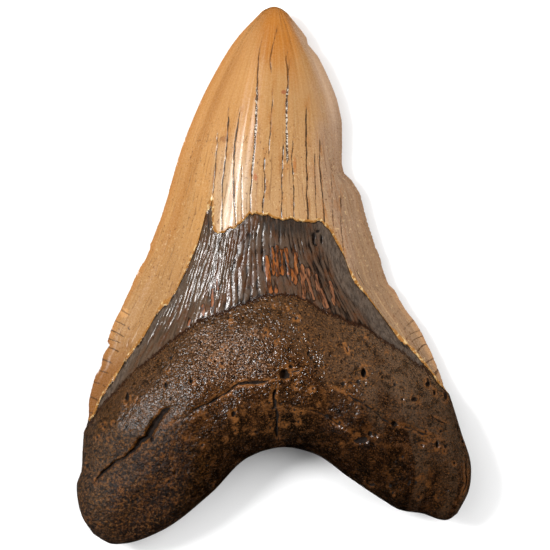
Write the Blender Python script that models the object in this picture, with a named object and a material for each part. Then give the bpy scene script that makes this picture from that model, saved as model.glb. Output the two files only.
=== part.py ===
"""A fossil megalodon tooth, lying on its flatter labial face with its tip towards +Y.

The tooth grew as one piece, so it is one solid. In plan it has four sides: the blunt tip, the two cutting
edges that run on into the flanks of the root, and the arched base of the root. A grid laid between those four
sides is lifted into the domed lingual face above and dropped into the flatter labial face below, and the two
meet along the rim. The grid's rows follow the anatomy: one row lies on the chipped lower edge of the enamel
and one on the border of the root, with the darker band of bare dentine, the bourlette, between them. Cracks
and pits are cut out afterwards.
"""

import bmesh
import bpy
import numpy as np
from mathutils import Vector
from mathutils.bvhtree import BVHTree

# Driving sizes, in metres.
TOOTH_HEIGHT = 0.140
ROOT_DOME = 0.0184
CROWN_DOME = 0.0152
ENAMEL_THICKNESS = 0.0006

# Every other size is in millimetres on a tooth drawn 139.8 mm high, and is scaled from there.
DRAWN_HEIGHT = 139.8
UNIT = TOOTH_HEIGHT / DRAWN_HEIGHT
HALF_WIDTH = 51.2

# The plan's four sides: the tip and the base from left to right, the other two from tip to base.
TIP = [(-3.1, 68.8), (-1.8, 69.5), (0.1, 70.0), (1.8, 69.5), (3.4, 68.4)]
LEFT_SIDE = [
    (-3.1, 68.8), (-9.4, 62.1), (-16.6, 50.5), (-23.4, 35.1), (-29.9, 14.3), (-35.2, 1.8), (-39.7, -7.5),
    (-44.9, -20.0), (-48.2, -31.0), (-49.6, -41.0), (-50.6, -49.0), (-51.2, -56.0), (-49.6, -63.0),
    (-46.8, -67.3),
]
RIGHT_SIDE = [
    (3.4, 68.4), (8.9, 61.3), (15.6, 48.1), (20.1, 32.0), (24.4, 14.3), (29.8, -0.2), (39.7, -17.0),
    (45.3, -30.0), (48.6, -40.5), (51.2, -50.2), (50.6, -55.8), (47.6, -61.9),
]
ROOT_BASE = [
    (-46.8, -67.3), (-42.1, -69.8), (-38.7, -69.7), (-29.6, -66.6), (-16.6, -56.9), (-6.2, -47.1),
    (2.3, -44.7), (10.4, -46.4), (19.8, -52.8), (27.6, -58.0), (32.8, -61.0), (38.0, -61.8), (45.5, -63.4),
    (47.6, -61.9),
]

# What is chipped or broken off the two sides: how far in the rim lies, by how far up the tooth it is.
LEFT_CHIPS = [
    (8, 0), (6.8, 0.5), (4.9, 0.3), (2, 0), (-14, 0), (-17.4, 0.2), (-18.3, 1.2), (-21, 0.4), (-24, 0.8),
    (-26, 0.2), (-33, 0.2), (-36.5, 0.8), (-39, 0.6), (-41, 0), (-49, 0.7), (-51, 0.8), (-54, 0),
]
RIGHT_CHIPS = [
    (62, 0), (60.2, 0.6), (57, 0), (46, 0), (40, 0.6), (34, 2.1), (30, 3.2), (28, 3.6), (26.5, 3.3),
    (24.6, 1.6), (21, 0), (3, 0), (-1.4, 0.9), (-3.2, 0.9), (-4.0, 0), (-8, 0.3), (-12, 0), (-26, 0.1),
    (-29, 0.6), (-31, 0),
]
CHIP_REACH = 5.0

# Borders that cross each face from the left cutting edge to the right one.
LINGUAL_ENAMEL_EDGE = [
    (-48.6, -37.4), (-43.2, -28.6), (-39.0, -21.8), (-31.7, -12.0), (-27.0, -6.2), (-24.4, -2.3),
    (-20.3, 7.0), (-18.2, 14.3), (-15.9, 19.5), (-15.6, 12.2), (-14.3, 10.9), (-8.1, 13.8), (-6.0, 15.9),
    (-0.5, 14.8), (9.9, 13.5), (12.2, 14.0), (17.9, 6.0), (19.8, 0.5), (27.3, -9.4), (37.2, -20.8),
    (44.7, -29.4),
]
LINGUAL_ROOT_BORDER = [
    (-48.9, -38.6), (-44.2, -33.0), (-37.4, -26.0), (-25.2, -15.9), (-12.7, -9.4), (-2.3, -5.3), (5.7, -5.2),
    (11.4, -8.6), (23.7, -13.8), (39.3, -24.2), (45.5, -30.8),
]
LABIAL_ENAMEL_EDGE = [
    (-48.6, -37.4), (-38.0, -27.0), (-20.0, -15.5), (2.0, -10.5), (22.0, -15.5), (44.7, -29.4),
]
LABIAL_ROOT_BORDER = [
    (-48.9, -38.6), (-38.0, -29.8), (-20.0, -18.6), (2.0, -13.6), (22.0, -18.4), (45.5, -30.8),
]

# How the tooth's thickness runs from the tip, 0, to the base, 1. The root starts at ROOT_SHARE.
ROOT_SHARE = 0.66
RIM_HEIGHT = [(0, 5.6), (0.12, 4.8), (0.33, 3.9), (0.5, 4.0), (0.62, 4.8), (0.72, 6.6), (0.85, 8.4), (1, 9.4)]
CROWN_RISE = [
    (0, 0.26), (0.05, 0.36), (0.12, 0.52), (0.21, 0.70), (0.33, 0.87), (0.44, 0.97), (0.55, 1), (1, 0.9),
]
ROOT_RISE = [(0, 0.8), (0.6, 0.86), (0.70, 0.94), (0.78, 1), (0.87, 0.98), (0.94, 0.93), (1, 0.86)]
CROWN_TO_ROOT = (0.58, 0.76)
ROUND_TIP = 0.06
ROUND_BASE = 0.24
LABIAL_ROUND_BASE = 0.18

# How square the section is, by its power: 2 is an ellipse.
CROWN_FULLNESS = 2.1
ROOT_FULLNESS = 2.5
LABIAL_CROWN_FULLNESS = 2.4
LABIAL_ROOT_FULLNESS = 3
TIP_FULLNESS = 2
BASE_FULLNESS = 2.5

# Relief. A hollow runs beside each cutting edge and a crease along the border of the root, each with a place
# and a width. The step off the enamel has a width, and its depth runs out over the upper root.
EDGE_HOLLOW = 0.6
EDGE_HOLLOW_AT = (0.84, 0.08)
BORDER_CREASE = 0.5
BORDER_CREASE_AT = (0, 1.1)
ENAMEL_STEP = 0.4
STEP_RUN_OUT = 6
RIDGE_HEIGHT = 0.16
RIDGES_BEGIN = (0.5, 3)
RIDGES_END = (-2.5, 0)
RELIEF_FROM = (0.2, 1.6)

# The root's slow lumps: height, lengths, and how the rows of lumps sway.
ROOT_SWELL = 0.42
LABIAL_SWELL = 0.17
SWELL_LENGTHS = (4.1, 4.7)
SWELL_SWAY = ((0.7, 6.3), (0.5, 7.9))
RIPPLE = 0.4
RIPPLE_LENGTHS = (2.3, 3.1)
SWELL_FROM = (1, 6)

# How far the labial face is lifted off the floor at the tip, at the waist and under the arch of the root, and
# how deep its crown and root are then skimmed flat.
LABIAL_TIP_LIFT = 3.2
LABIAL_TIP_REACH = 0.36
LABIAL_WAIST_LIFT = 1.6
LABIAL_WAIST_AT = (0.62, 0.09)
LABIAL_ARCH_LIFT = 2.4
LABIAL_ARCH_FROM = (0.72, 0.95)
LABIAL_ARCH_AT = (0, 0.34)
CROWN_SKIM = 0.5
ROOT_SKIM = 1.4

# Cracks: their routes, then the half width in the middle and the depth of each kind.
OPEN_CRACK = [
    (-8.1, -27.3), (-10.9, -29.4), (-14.8, -32.0), (-20.0, -34.3), (-26.5, -34.6), (-30.2, -36.4),
    (-32.2, -40.3), (-35.6, -43.2), (-38.2, -46.8), (-41.9, -48.6), (-45.2, -52.0), (-47.1, -55.9),
]
ROOT_CRACKS = [
    [(0.8, -26.8), (-3.1, -27.6), (-8.1, -27.3), (-10.9, -29.4)],
    [(0.8, -27.8), (0.3, -33.8), (1.0, -36.4), (0.8, -39.8), (1.6, -43.2)],
    [(14.6, -28.1), (19.8, -31.2), (25.0, -34.3), (29.4, -37.7), (36.7, -40.0), (40.6, -42.9)],
]
ENAMEL_CRACKS = [
    [(-3.4, 59.5), (-4.0, 54.6), (-4.5, 45.5), (-4.9, 35.1), (-5.7, 27.3), (-6.2, 17.5)],
    [(0.0, 60.6), (-1.0, 55.4), (-0.5, 48.6), (-1.0, 36.4)],
    [(3.2, 55.9), (3.6, 52.0), (3.2, 44.2), (3.4, 30.4)],
    [(2.5, 34.0), (2.1, 25.2), (1.8, 16.5)],
    [(8.3, 43.4), (8.2, 37.7), (8.3, 29.9), (8.8, 16.0)],
    [(12.0, 37.2), (11.8, 29.9), (12.6, 20.0), (13.0, 15.0)],
    [(-8.8, 42.4), (-9.9, 35.6), (-10.4, 26.0), (-9.9, 14.5)],
    [(-14.8, 39.0), (-14.8, 33.8), (-15.5, 23.4), (-15.9, 20.0)],
]
OPEN_CRACK_SIZE = (1.1, 1.3)
ROOT_CRACK_SIZE = (0.55, 0.7)
ENAMEL_CRACK_SIZE = (0.34, 0.34)
CRACK_STEP = 3.0
CRACK_ENDS = 0.3
CUTTER_CLEARANCE = 1.2

# Pits in the lingual face: place, radius of the mouth and depth.
PITS = [
    (2.6, -24.4, 1.4, 2.6), (22.9, -25.2, 1.3, 2.0), (30.7, -38.0, 1.0, 1.8), (9.1, -20.0, 0.8, 1.3),
    (-10.7, -35.6, 0.8, 1.4), (-21.1, -27.3, 0.7, 1.2), (-37.7, -31.2, 0.9, 1.3), (22.4, -41.9, 1.5, 1.4),
    (41.6, -43.7, 0.9, 1.5), (36.1, -32.0, 0.8, 1.2), (10.7, 9.6, 1.2, 1.0), (26.3, -53.3, 1.1, 1.3),
]
PIT_SIDES = 8
PIT_FLOOR = 0.45
PIT_MOUTH = 1.3

# The grid: columns across, and rows as shares of the crown, of the bourlette and of the root. From the crown
# down to the root, the columns gather more and more towards the flanks.
COLUMNS = 48
GATHERING = (0.35, 0.95)
GATHERING_BETWEEN = (0.5, 0.8)
CROWN_ROWS = np.linspace(0, 1, 19)[:-1]
BOURLETTE_ROWS = np.array([0, 0.04, 0.24, 0.45, 0.66, 0.86])
ROOT_ROWS = np.concatenate([[0, 0.04], np.linspace(0.1, 0.82, 12), [0.89, 0.94, 0.98, 1]])
RIM_CUTS = 2
SEARCH = (0.3, 0.9)
BOURLETTE_LEAST = 0.004
ROOT_STARTS_BY = 0.95
HALVINGS = 24
SMOOTH_UP_TO = 38

# Colour, roughness and metallic value.
ENAMEL = ((0.62, 0.36, 0.16, 1), 0.28, 0)
DENTINE = ((0.045, 0.028, 0.018, 1), 0.4, 0)
ROOT_BONE = ((0.09, 0.036, 0.016, 1), 0.6, 0)


def smoothstep(value, low, high):
    """0 below low, 1 above high, with an even S between."""
    t = np.clip((value - low) / (high - low), 0, 1)
    return t * t * (3 - 2 * t)


def mix(a, b, share):
    return a + (b - a) * share


def smooth_through(places, values, wanted):
    """The values at the wanted places on a smooth curve through the given ones."""
    places, values, wanted = np.asarray(places, float), np.asarray(values, float), np.asarray(wanted, float)
    slopes = np.gradient(values, places, axis=0)
    i = np.clip(np.searchsorted(places, wanted, side="right") - 1, 0, len(places) - 2)
    gap = places[i + 1] - places[i]
    t = (wanted - places[i]) / gap
    if values.ndim > 1:
        t, gap = t[..., None], gap[..., None]
    start = values[i] * (2 * t**3 - 3 * t**2 + 1) + slopes[i] * gap * (t**3 - 2 * t**2 + t)
    return start + values[i + 1] * (3 * t**2 - 2 * t**3) + slopes[i + 1] * gap * (t**3 - t**2)


def along_route(points, share):
    """Points at shares of the length of a smooth route."""
    points = np.array(points)
    steps = np.hypot(*np.diff(points, axis=0).T)
    return smooth_through(np.concatenate([[0], np.cumsum(steps)]) / steps.sum(), points, share)


def graph(knots, share):
    places, values = zip(*knots)
    return smooth_through(places, values, share)


def shoulder(share, power):
    """Height of a round-shouldered section at a share of the way from its middle to its edge."""
    return np.maximum(1 - np.clip(share, 0, 1) ** power, 0) ** (1 / power)


def swelling(value, place, width):
    """A smooth swelling of height 1 about a place."""
    return np.exp(-(((value - place) / width) ** 2))


def plan(across, along):
    """Points of the plan. across runs from 0 at the left side to 1, and along from 0 at the tip to 1."""
    a, b = np.asarray(across)[..., None], np.asarray(along)[..., None]
    ends = along_route(TIP, across) * (1 - b) + along_route(ROOT_BASE, across) * b
    sides = along_route(LEFT_SIDE, along) * (1 - a) + along_route(RIGHT_SIDE, along) * a
    tip_chord = np.array(TIP[0]) * (1 - a) + np.array(TIP[-1]) * a
    base_chord = np.array(ROOT_BASE[0]) * (1 - a) + np.array(ROOT_BASE[-1]) * a
    return ends + sides - tip_chord * (1 - b) - base_chord * b


def chipped(points, across):
    """The points moved in from the sides where the rim is chipped, and less so further from the rim."""
    x, y = np.moveaxis(points, -1, 0)
    shift = 0 * x
    for sign, chips in ((-1, LEFT_CHIPS), (1, RIGHT_CHIPS)):
        places, depths = np.array(chips[::-1]).T
        from_rim = (0.5 - sign * (across - 0.5)) * HALF_WIDTH
        shift -= sign * np.interp(y, places, depths) * swelling(from_rim, 0, CHIP_REACH)
    return np.stack([x + shift, y], axis=-1)


def spread(place, along):
    """Where a column, placed from -1 to 1, lies across. The root's columns gather towards its flanks."""
    gathering = mix(*GATHERING, smoothstep(along, *GATHERING_BETWEEN))
    return 0.5 + 0.5 * mix(place, np.sin(place * np.pi / 2), gathering)


def crossing(place, border, low, high):
    """How far along each column a border crosses it, found by halving. On the rim its end point counts."""
    edge_x, edge_y = np.array(border).T
    on_rim = np.abs(place) == 1
    rim_y = np.where(place < 0, edge_y[0], edge_y[-1])
    low, high = low + 0 * place, high + 0 * place
    for _ in range(HALVINGS):
        middle = (low + high) / 2
        x, y = plan(spread(place, middle), middle).T
        above = y > np.where(on_rim, rim_y, np.interp(x, edge_x, edge_y))
        low, high = np.where(above, middle, low), np.where(above, high, middle)
    return (low + high) / 2


class Sheet:
    """The grid of one face, as arrays with a row for each row of the grid and a column for each column."""

    def __init__(self, enamel_edge, root_border):
        place = np.linspace(-1, 1, COLUMNS + 1)
        enamel_ends = crossing(place, enamel_edge, *SEARCH)
        root_starts = crossing(place, root_border, enamel_ends + BOURLETTE_LEAST, ROOT_STARTS_BY)
        self.place = place
        self.zones = np.repeat([0, 1, 2], [len(CROWN_ROWS), len(BOURLETTE_ROWS), len(ROOT_ROWS)])
        ends = np.array([0 * place, enamel_ends, root_starts, 1 + 0 * place])
        shares = np.concatenate([CROWN_ROWS, BOURLETTE_ROWS, ROOT_ROWS])[:, None]
        self.along = mix(ends[self.zones], ends[self.zones + 1], shares)
        across = spread(place, self.along)
        self.x, self.y = np.moveaxis(chipped(plan(across, self.along), across), 2, 0)
        self.out = np.abs(2 * across - 1)
        length = np.abs(self.y[0] - self.y[-1])
        self.past_enamel = (self.along - enamel_ends) * length
        self.past_border = (self.along - root_starts) * length
        crown_share = self.along / root_starts * ROOT_SHARE
        root_share = mix(ROOT_SHARE, 1, (self.along - root_starts) / (1 - root_starts))
        self.share = np.where(self.along < root_starts, crown_share, root_share)
        self.rootness = smoothstep(self.share, *CROWN_TO_ROOT)
        self.rim = graph(RIM_HEIGHT, self.share)
        self.tip_end = shoulder(1 - self.along / ROUND_TIP, TIP_FULLNESS)
        stepped = 1 - smoothstep(self.past_border, 0, STEP_RUN_OUT)
        self.step = ENAMEL_THICKNESS / UNIT * smoothstep(self.past_enamel, 0, ENAMEL_STEP) * stepped

    def base_end(self, length):
        """How the thickness runs out over a length in front of the base."""
        return shoulder((self.share - 1) / length + 1, BASE_FULLNESS)


def root_swell(sheet):
    """Slow lumps on the root, 1 high."""
    (sway_x, length_y), (sway_y, length_x) = SWELL_SWAY
    phase_x = sheet.x / SWELL_LENGTHS[0] + sway_x * np.sin(sheet.y / length_y)
    phase_y = sheet.y / SWELL_LENGTHS[1] + sway_y * np.sin(sheet.x / length_x)
    ripple = RIPPLE * np.sin(sheet.x / RIPPLE_LENGTHS[0] - sheet.y / RIPPLE_LENGTHS[1])
    return (np.sin(phase_x) * np.cos(phase_y) + ripple) * smoothstep(sheet.past_border, *SWELL_FROM)


def lingual_height(sheet):
    """The domed upper face, with the step off the enamel, the ridged bourlette and the root's border."""
    crown_top = CROWN_DOME / UNIT * graph(CROWN_RISE, sheet.share) * (1 - sheet.out**CROWN_FULLNESS)
    crown_top -= EDGE_HOLLOW * swelling(sheet.out, *EDGE_HOLLOW_AT)
    root_top = ROOT_DOME / UNIT * graph(ROOT_RISE, sheet.share) * shoulder(sheet.out, ROOT_FULLNESS)
    rise = mix(crown_top, root_top, sheet.rootness) * sheet.tip_end * sheet.base_end(ROUND_BASE)
    relief = ROOT_SWELL * root_swell(sheet) - BORDER_CREASE * swelling(sheet.past_border, *BORDER_CREASE_AT)
    ridged = smoothstep(sheet.past_enamel, *RIDGES_BEGIN) * (1 - smoothstep(sheet.past_border, *RIDGES_END))
    relief += RIDGE_HEIGHT * np.cos(sheet.place * COLUMNS / 2 * np.pi) * ridged
    return sheet.rim + np.maximum(rise + (relief - sheet.step) * smoothstep(rise, *RELIEF_FROM), 0)


def labial_height(sheet):
    """The flatter lower face. Where it would dip below the surface that it lies on, it is flat."""
    crown = 1 - sheet.out**LABIAL_CROWN_FULLNESS
    filled = mix(crown, shoulder(sheet.out, LABIAL_ROOT_FULLNESS), sheet.rootness)
    filled *= sheet.tip_end * sheet.base_end(LABIAL_ROUND_BASE)
    lift = LABIAL_TIP_LIFT * (1 - smoothstep(sheet.share, 0, LABIAL_TIP_REACH))
    lift += LABIAL_WAIST_LIFT * swelling(sheet.share, *LABIAL_WAIST_AT)
    arch = smoothstep(sheet.share, *LABIAL_ARCH_FROM) * swelling(sheet.out, *LABIAL_ARCH_AT)
    lift += LABIAL_ARCH_LIFT * arch + sheet.step + LABIAL_SWELL * root_swell(sheet)
    skim = mix(CROWN_SKIM, ROOT_SKIM, sheet.rootness)
    return np.maximum(mix(sheet.rim, lift - skim, filled), 0)


def add_face(mesh, sheet, heights, upper):
    """Adds one face: a flat grid of quads whose corners are moved onto the sheet's points."""
    side, along = mesh.verts.layers.float["side"], mesh.verts.layers.float["along"]
    step = mesh.verts.layers.int["step"]
    last_row = len(sheet.zones) - 1
    points = np.stack([sheet.x, sheet.y, heights], axis=2) * UNIT
    made = bmesh.ops.create_grid(mesh, x_segments=COLUMNS, y_segments=last_row, size=0.5)["verts"]
    faces = {face for vert in made for face in vert.link_faces}
    for face in faces:
        row = int((0.5 - face.calc_center_median().y) * last_row)
        face.material_index = int(sheet.zones[row])
    for vert in made:
        row, column = round((0.5 - vert.co.y) * last_row), round((vert.co.x + 0.5) * COLUMNS)
        vert[side] = sheet.place[column]
        vert[along] = sheet.along[row, column]
        vert[step] = 0 if upper else column
        vert.co = points[row, column]
    if not upper:
        bmesh.ops.reverse_faces(mesh, faces=list(faces))


def thin_labial_face(mesh):
    """Takes every second column out of the labial face, which is smooth, up to the rim that it shares."""
    step, along = mesh.verts.layers.int["step"], mesh.verts.layers.float["along"]
    spare = []
    for edge in mesh.edges:
        a, b = edge.verts
        if a[step] == b[step] and a[step] % 2 and a[along] != b[along]:
            spare.append(edge)
    bmesh.ops.dissolve_edges(mesh, edges=spare, use_verts=True)


def refine_rim(mesh):
    """Cuts the rim's edges finer and lays the new points on the outline, so that its chips show."""
    side, along = mesh.verts.layers.float["side"], mesh.verts.layers.float["along"]
    rim = []
    for edge in mesh.edges:
        sides = {vert[side] for vert in edge.verts}
        if sides == {-1} or sides == {1}:
            rim.append(edge)
    for vert in bmesh.ops.subdivide_edges(mesh, edges=rim, cuts=RIM_CUTS)["geom_inner"]:
        if isinstance(vert, bmesh.types.BMVert):
            across = 0.5 + 0.5 * vert[side]
            x, y = chipped(plan(across, vert[along]), across)
            vert.co.x, vert.co.y = x * UNIT, y * UNIT


def build_body():
    """The whole tooth as one closed bmesh, before its cracks and pits."""
    mesh = bmesh.new()
    for name in ("side", "along"):
        mesh.verts.layers.float.new(name)
    mesh.verts.layers.int.new("step")
    lingual = Sheet(LINGUAL_ENAMEL_EDGE, LINGUAL_ROOT_BORDER)
    labial = Sheet(LABIAL_ENAMEL_EDGE, LABIAL_ROOT_BORDER)
    add_face(mesh, lingual, lingual_height(lingual), True)
    add_face(mesh, labial, labial_height(labial), False)
    bmesh.ops.remove_doubles(mesh, verts=mesh.verts, dist=1e-6)
    thin_labial_face(mesh)
    refine_rim(mesh)
    return mesh


def material(name, finish):
    """A Principled material from a colour, a roughness and a metallic value."""
    made = bpy.data.materials.new(name)
    made.use_nodes = True
    colour, roughness, metallic = finish
    shader = made.node_tree.nodes["Principled BSDF"]
    shader.inputs["Base Color"].default_value = colour
    shader.inputs["Roughness"].default_value = roughness
    shader.inputs["Metallic"].default_value = metallic
    return made


def object_from(mesh, name, collection):
    data = bpy.data.meshes.new(name)
    mesh.to_mesh(data)
    mesh.free()
    made = bpy.data.objects.new(name, data)
    collection.objects.link(made)
    return made


def as_cutter(cutter):
    cutter.hide_render = True
    cutter.display_type = "WIRE"


def surface_under(tree, x, y):
    """The point of the lingual face above a place in plan, in metres."""
    return tree.ray_cast(Vector((x * UNIT, y * UNIT, 1)), Vector((0, 0, -1)))[0]


def cut_crack(tree, route, size, name, cutters):
    """A long wedge that follows a crack. Its lower edge is the crack's floor, and it tapers at both ends."""
    half_width, depth = size
    length = np.hypot(*np.diff(np.array(route), axis=0).T).sum()
    shares = np.linspace(0, 1, max(round(length / CRACK_STEP), 4) + 1)
    points = along_route(route, shares)
    mesh = bmesh.new()
    corner = mesh.verts.layers.int.new("corner")
    section = bmesh.ops.create_circle(mesh, cap_ends=True, segments=3, radius=UNIT)["verts"]
    for count, vert in enumerate(section):
        vert[corner] = count
    end = section[0].link_faces[0]
    inner = []
    for share, (x, y), heading in zip(shares, points, np.gradient(points, axis=0)):
        if share > 0:
            inner.append(end)
            end = next(
                item for item in bmesh.ops.extrude_face_region(mesh, geom=[end])["geom"]
                if isinstance(item, bmesh.types.BMFace)
            )
        taper = mix(CRACK_ENDS, 1, np.sin(np.pi * share) ** 0.5)
        sunk = depth * taper * UNIT
        tall = sunk + CUTTER_CLEARANCE * UNIT
        floor = surface_under(tree, x, y) - Vector((0, 0, sunk))
        above = floor + Vector((0, 0, tall))
        aside = Vector((heading[1], -heading[0], 0)).normalized() * (half_width / depth * tall)
        places = (floor, above - aside, above + aside)
        for vert in end.verts:
            vert.co = places[vert[corner]]
    bmesh.ops.delete(mesh, geom=inner[1:], context="FACES_ONLY")
    bmesh.ops.recalc_face_normals(mesh, faces=mesh.faces)
    as_cutter(object_from(mesh, name, cutters))


def cut_pit(tree, x, y, radius, depth, name, cutters):
    """A blunt cone sunk straight into the surface, with its wide end clear above it."""
    mesh = bmesh.new()
    above = radius
    bmesh.ops.create_cone(
        mesh, cap_ends=True, segments=PIT_SIDES, radius1=PIT_FLOOR * radius * UNIT,
        radius2=PIT_MOUTH * radius * UNIT, depth=(depth + above) * UNIT,
    )
    middle = surface_under(tree, x, y) + Vector((0, 0, (above - depth) / 2 * UNIT))
    bmesh.ops.translate(mesh, verts=mesh.verts, vec=middle)
    as_cutter(object_from(mesh, name, cutters))


def cut_cracks_and_pits(tooth, cutters):
    """Cuts every crack and pit out of the tooth in one go."""
    tree = BVHTree.FromObject(tooth, bpy.context.evaluated_depsgraph_get())
    cut_crack(tree, OPEN_CRACK, OPEN_CRACK_SIZE, "open_crack_cutter", cutters)
    for count, route in enumerate(ROOT_CRACKS):
        cut_crack(tree, route, ROOT_CRACK_SIZE, f"root_crack_cutter_{count}", cutters)
    for count, route in enumerate(ENAMEL_CRACKS):
        cut_crack(tree, route, ENAMEL_CRACK_SIZE, f"enamel_crack_cutter_{count}", cutters)
    for count, pit in enumerate(PITS):
        cut_pit(tree, *pit, f"pit_cutter_{count}", cutters)
    cut = tooth.modifiers.new("cracks_and_pits", "BOOLEAN")
    cut.operation = "DIFFERENCE"
    cut.solver = "EXACT"
    cut.operand_type = "COLLECTION"
    cut.collection = cutters


def main():
    for old in list(bpy.data.objects):
        bpy.data.objects.remove(old)
    parts = bpy.data.collections.new("megalodon_tooth")
    cutters = bpy.data.collections.new("cutters")
    for collection in (parts, cutters):
        bpy.context.scene.collection.children.link(collection)
    tooth = object_from(build_body(), "tooth", parts)
    for name, finish in (("enamel", ENAMEL), ("bare_dentine", DENTINE), ("root_bone", ROOT_BONE)):
        tooth.data.materials.append(material(name, finish))
    tooth.data.shade_smooth()
    tooth.data.set_sharp_from_angle(angle=np.radians(SMOOTH_UP_TO))
    bpy.context.view_layer.update()
    cut_cracks_and_pits(tooth, cutters)


main()
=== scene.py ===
"""A fossil megalodon tooth with its fine surface and finish, on a pale studio floor.

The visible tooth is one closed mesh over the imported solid. A grid whose rows follow the anatomy is laid
between the tip, the two cutting edges and the arched base of the root. Its upper sheet becomes the domed
lingual face and its lower sheet the flatter labial face. Serrations, the broken lip of the enamel, fibres,
grain, cracks and pits are in the mesh. Each point also carries measures, such as how far it is past the
enamel's edge, that the material reads.
"""

import bmesh
import bpy
import numpy as np
from bpy.props import FloatProperty, FloatVectorProperty, PointerProperty
from bpy.types import Operator, Panel, PropertyGroup
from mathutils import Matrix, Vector


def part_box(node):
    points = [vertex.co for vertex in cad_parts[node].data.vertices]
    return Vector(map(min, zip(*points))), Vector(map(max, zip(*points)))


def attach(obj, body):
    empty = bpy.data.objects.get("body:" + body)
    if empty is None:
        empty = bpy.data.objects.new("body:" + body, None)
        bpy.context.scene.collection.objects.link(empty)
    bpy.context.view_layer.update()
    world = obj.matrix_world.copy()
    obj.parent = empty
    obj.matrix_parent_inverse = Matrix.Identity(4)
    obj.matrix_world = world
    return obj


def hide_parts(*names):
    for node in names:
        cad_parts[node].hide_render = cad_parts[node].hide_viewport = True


bl_info = {
    "name": "Megalodon Tooth",
    "version": (1, 0, 0),
    "blender": (4, 5, 0),
    "location": "3D View > Sidebar > Tooth",
    "description": "Builds a fossil megalodon tooth around its packed solid, and a studio stage for it",
    "category": "Add Mesh",
}

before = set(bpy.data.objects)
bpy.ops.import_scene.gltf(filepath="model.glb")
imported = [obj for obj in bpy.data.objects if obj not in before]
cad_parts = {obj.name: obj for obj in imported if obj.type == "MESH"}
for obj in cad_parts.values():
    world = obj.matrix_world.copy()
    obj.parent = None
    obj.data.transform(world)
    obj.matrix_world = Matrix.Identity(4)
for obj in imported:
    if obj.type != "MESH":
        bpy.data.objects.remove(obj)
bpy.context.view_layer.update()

# Outlines are in millimetres on a tooth drawn 139.8 mm high, as in the solid, and are scaled to its height.
DRAWN_HEIGHT = 139.8
LOWEST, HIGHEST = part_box("tooth")
UNIT = (HIGHEST.y - LOWEST.y) / DRAWN_HEIGHT
HALF_WIDTH = 51.2

# The plan's four sides: the tip and the base from left to right, the other two from tip to base.
TIP = [(-3.1, 68.8), (-1.8, 69.5), (0.1, 70.0), (1.8, 69.5), (3.4, 68.4)]
LEFT_SIDE = [
    (-3.1, 68.8), (-9.4, 62.1), (-16.6, 50.5), (-23.4, 35.1), (-29.9, 14.3), (-35.2, 1.8), (-39.7, -7.5),
    (-44.9, -20.0), (-48.2, -31.0), (-49.6, -41.0), (-50.6, -49.0), (-51.2, -56.0), (-49.6, -63.0),
    (-46.8, -67.3),
]
RIGHT_SIDE = [
    (3.4, 68.4), (8.9, 61.3), (15.6, 48.1), (20.1, 32.0), (24.4, 14.3), (29.8, -0.2), (39.7, -17.0),
    (45.3, -30.0), (48.6, -40.5), (51.2, -50.2), (50.6, -55.8), (47.6, -61.9),
]
ROOT_BASE = [
    (-46.8, -67.3), (-42.1, -69.8), (-38.7, -69.7), (-29.6, -66.6), (-16.6, -56.9), (-6.2, -47.1),
    (2.3, -44.7), (10.4, -46.4), (19.8, -52.8), (27.6, -58.0), (32.8, -61.0), (38.0, -61.8),
    (45.5, -63.4), (47.6, -61.9),
]

# What is chipped or broken off the two sides: how far in the rim lies, by how far up the tooth it is.
LEFT_CHIPS = [
    (8, 0), (6.8, 0.5), (4.9, 0.3), (2, 0), (-14, 0), (-17.4, 0.2), (-18.3, 1.2), (-21, 0.4), (-24, 0.8),
    (-26, 0.2), (-33, 0.2), (-36.5, 0.8), (-39, 0.6), (-41, 0), (-49, 0.7), (-51, 0.8), (-54, 0),
]
RIGHT_CHIPS = [
    (62, 0), (60.2, 0.8), (57, 0), (46, 0), (40, 0.4), (34, 1.8), (30, 2.9), (28, 3.3), (26.5, 3.0),
    (24.6, 1.4), (21, 0), (3, 0), (-1.4, 0.9), (-3.2, 0.9), (-4.0, 0), (-8, 0.3), (-12, 0), (-26, 0.1),
    (-29, 0.6), (-31, 0),
]
CHIP_REACH = 5.0

# Borders that cross each face from the left cutting edge to the right one.
LINGUAL_ENAMEL_EDGE = [
    (-48.6, -37.4), (-46.0, -33.0), (-43.2, -28.6), (-40.0, -24.4), (-39.0, -21.8), (-36.9, -19.5),
    (-34.8, -16.4), (-31.7, -12.0), (-29.9, -8.6), (-27.0, -6.2), (-24.4, -2.3), (-21.8, 3.6),
    (-20.3, 7.0), (-19.0, 10.4), (-18.2, 14.3), (-17.2, 17.7), (-15.9, 19.5), (-15.6, 12.2),
    (-14.3, 10.9), (-10.9, 12.0), (-8.1, 13.8), (-6.0, 15.9), (-3.1, 15.7), (-0.5, 14.8), (5.5, 14.2),
    (9.9, 13.5), (12.2, 14.0), (14.0, 12.5), (16.1, 9.1), (17.9, 6.0), (19.8, 0.5), (23.4, -4.2),
    (27.3, -9.4), (31.2, -14.8), (34.1, -17.2), (37.2, -20.8), (40.6, -24.7), (44.7, -29.4),
]
LINGUAL_ROOT_BORDER = [
    (-48.9, -38.6), (-44.2, -33.0), (-37.4, -26.0), (-31.7, -21.1), (-25.2, -15.9), (-19.2, -11.7),
    (-12.7, -9.4), (-6.2, -6.8), (-2.3, -5.3), (2.1, -4.9), (5.7, -5.2), (8.6, -6.8), (11.4, -8.6),
    (18.7, -11.7), (23.7, -13.8), (28.9, -17.2), (34.1, -20.8), (39.3, -24.2), (45.5, -30.8),
]
LABIAL_ENAMEL_EDGE = [
    (-48.6, -37.4), (-38.0, -27.0), (-20.0, -15.5), (2.0, -10.5), (22.0, -15.5), (44.7, -29.4),
]
LABIAL_ROOT_BORDER = [
    (-48.9, -38.6), (-38.0, -29.8), (-20.0, -18.6), (2.0, -13.6), (22.0, -18.4), (45.5, -30.8),
]

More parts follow.
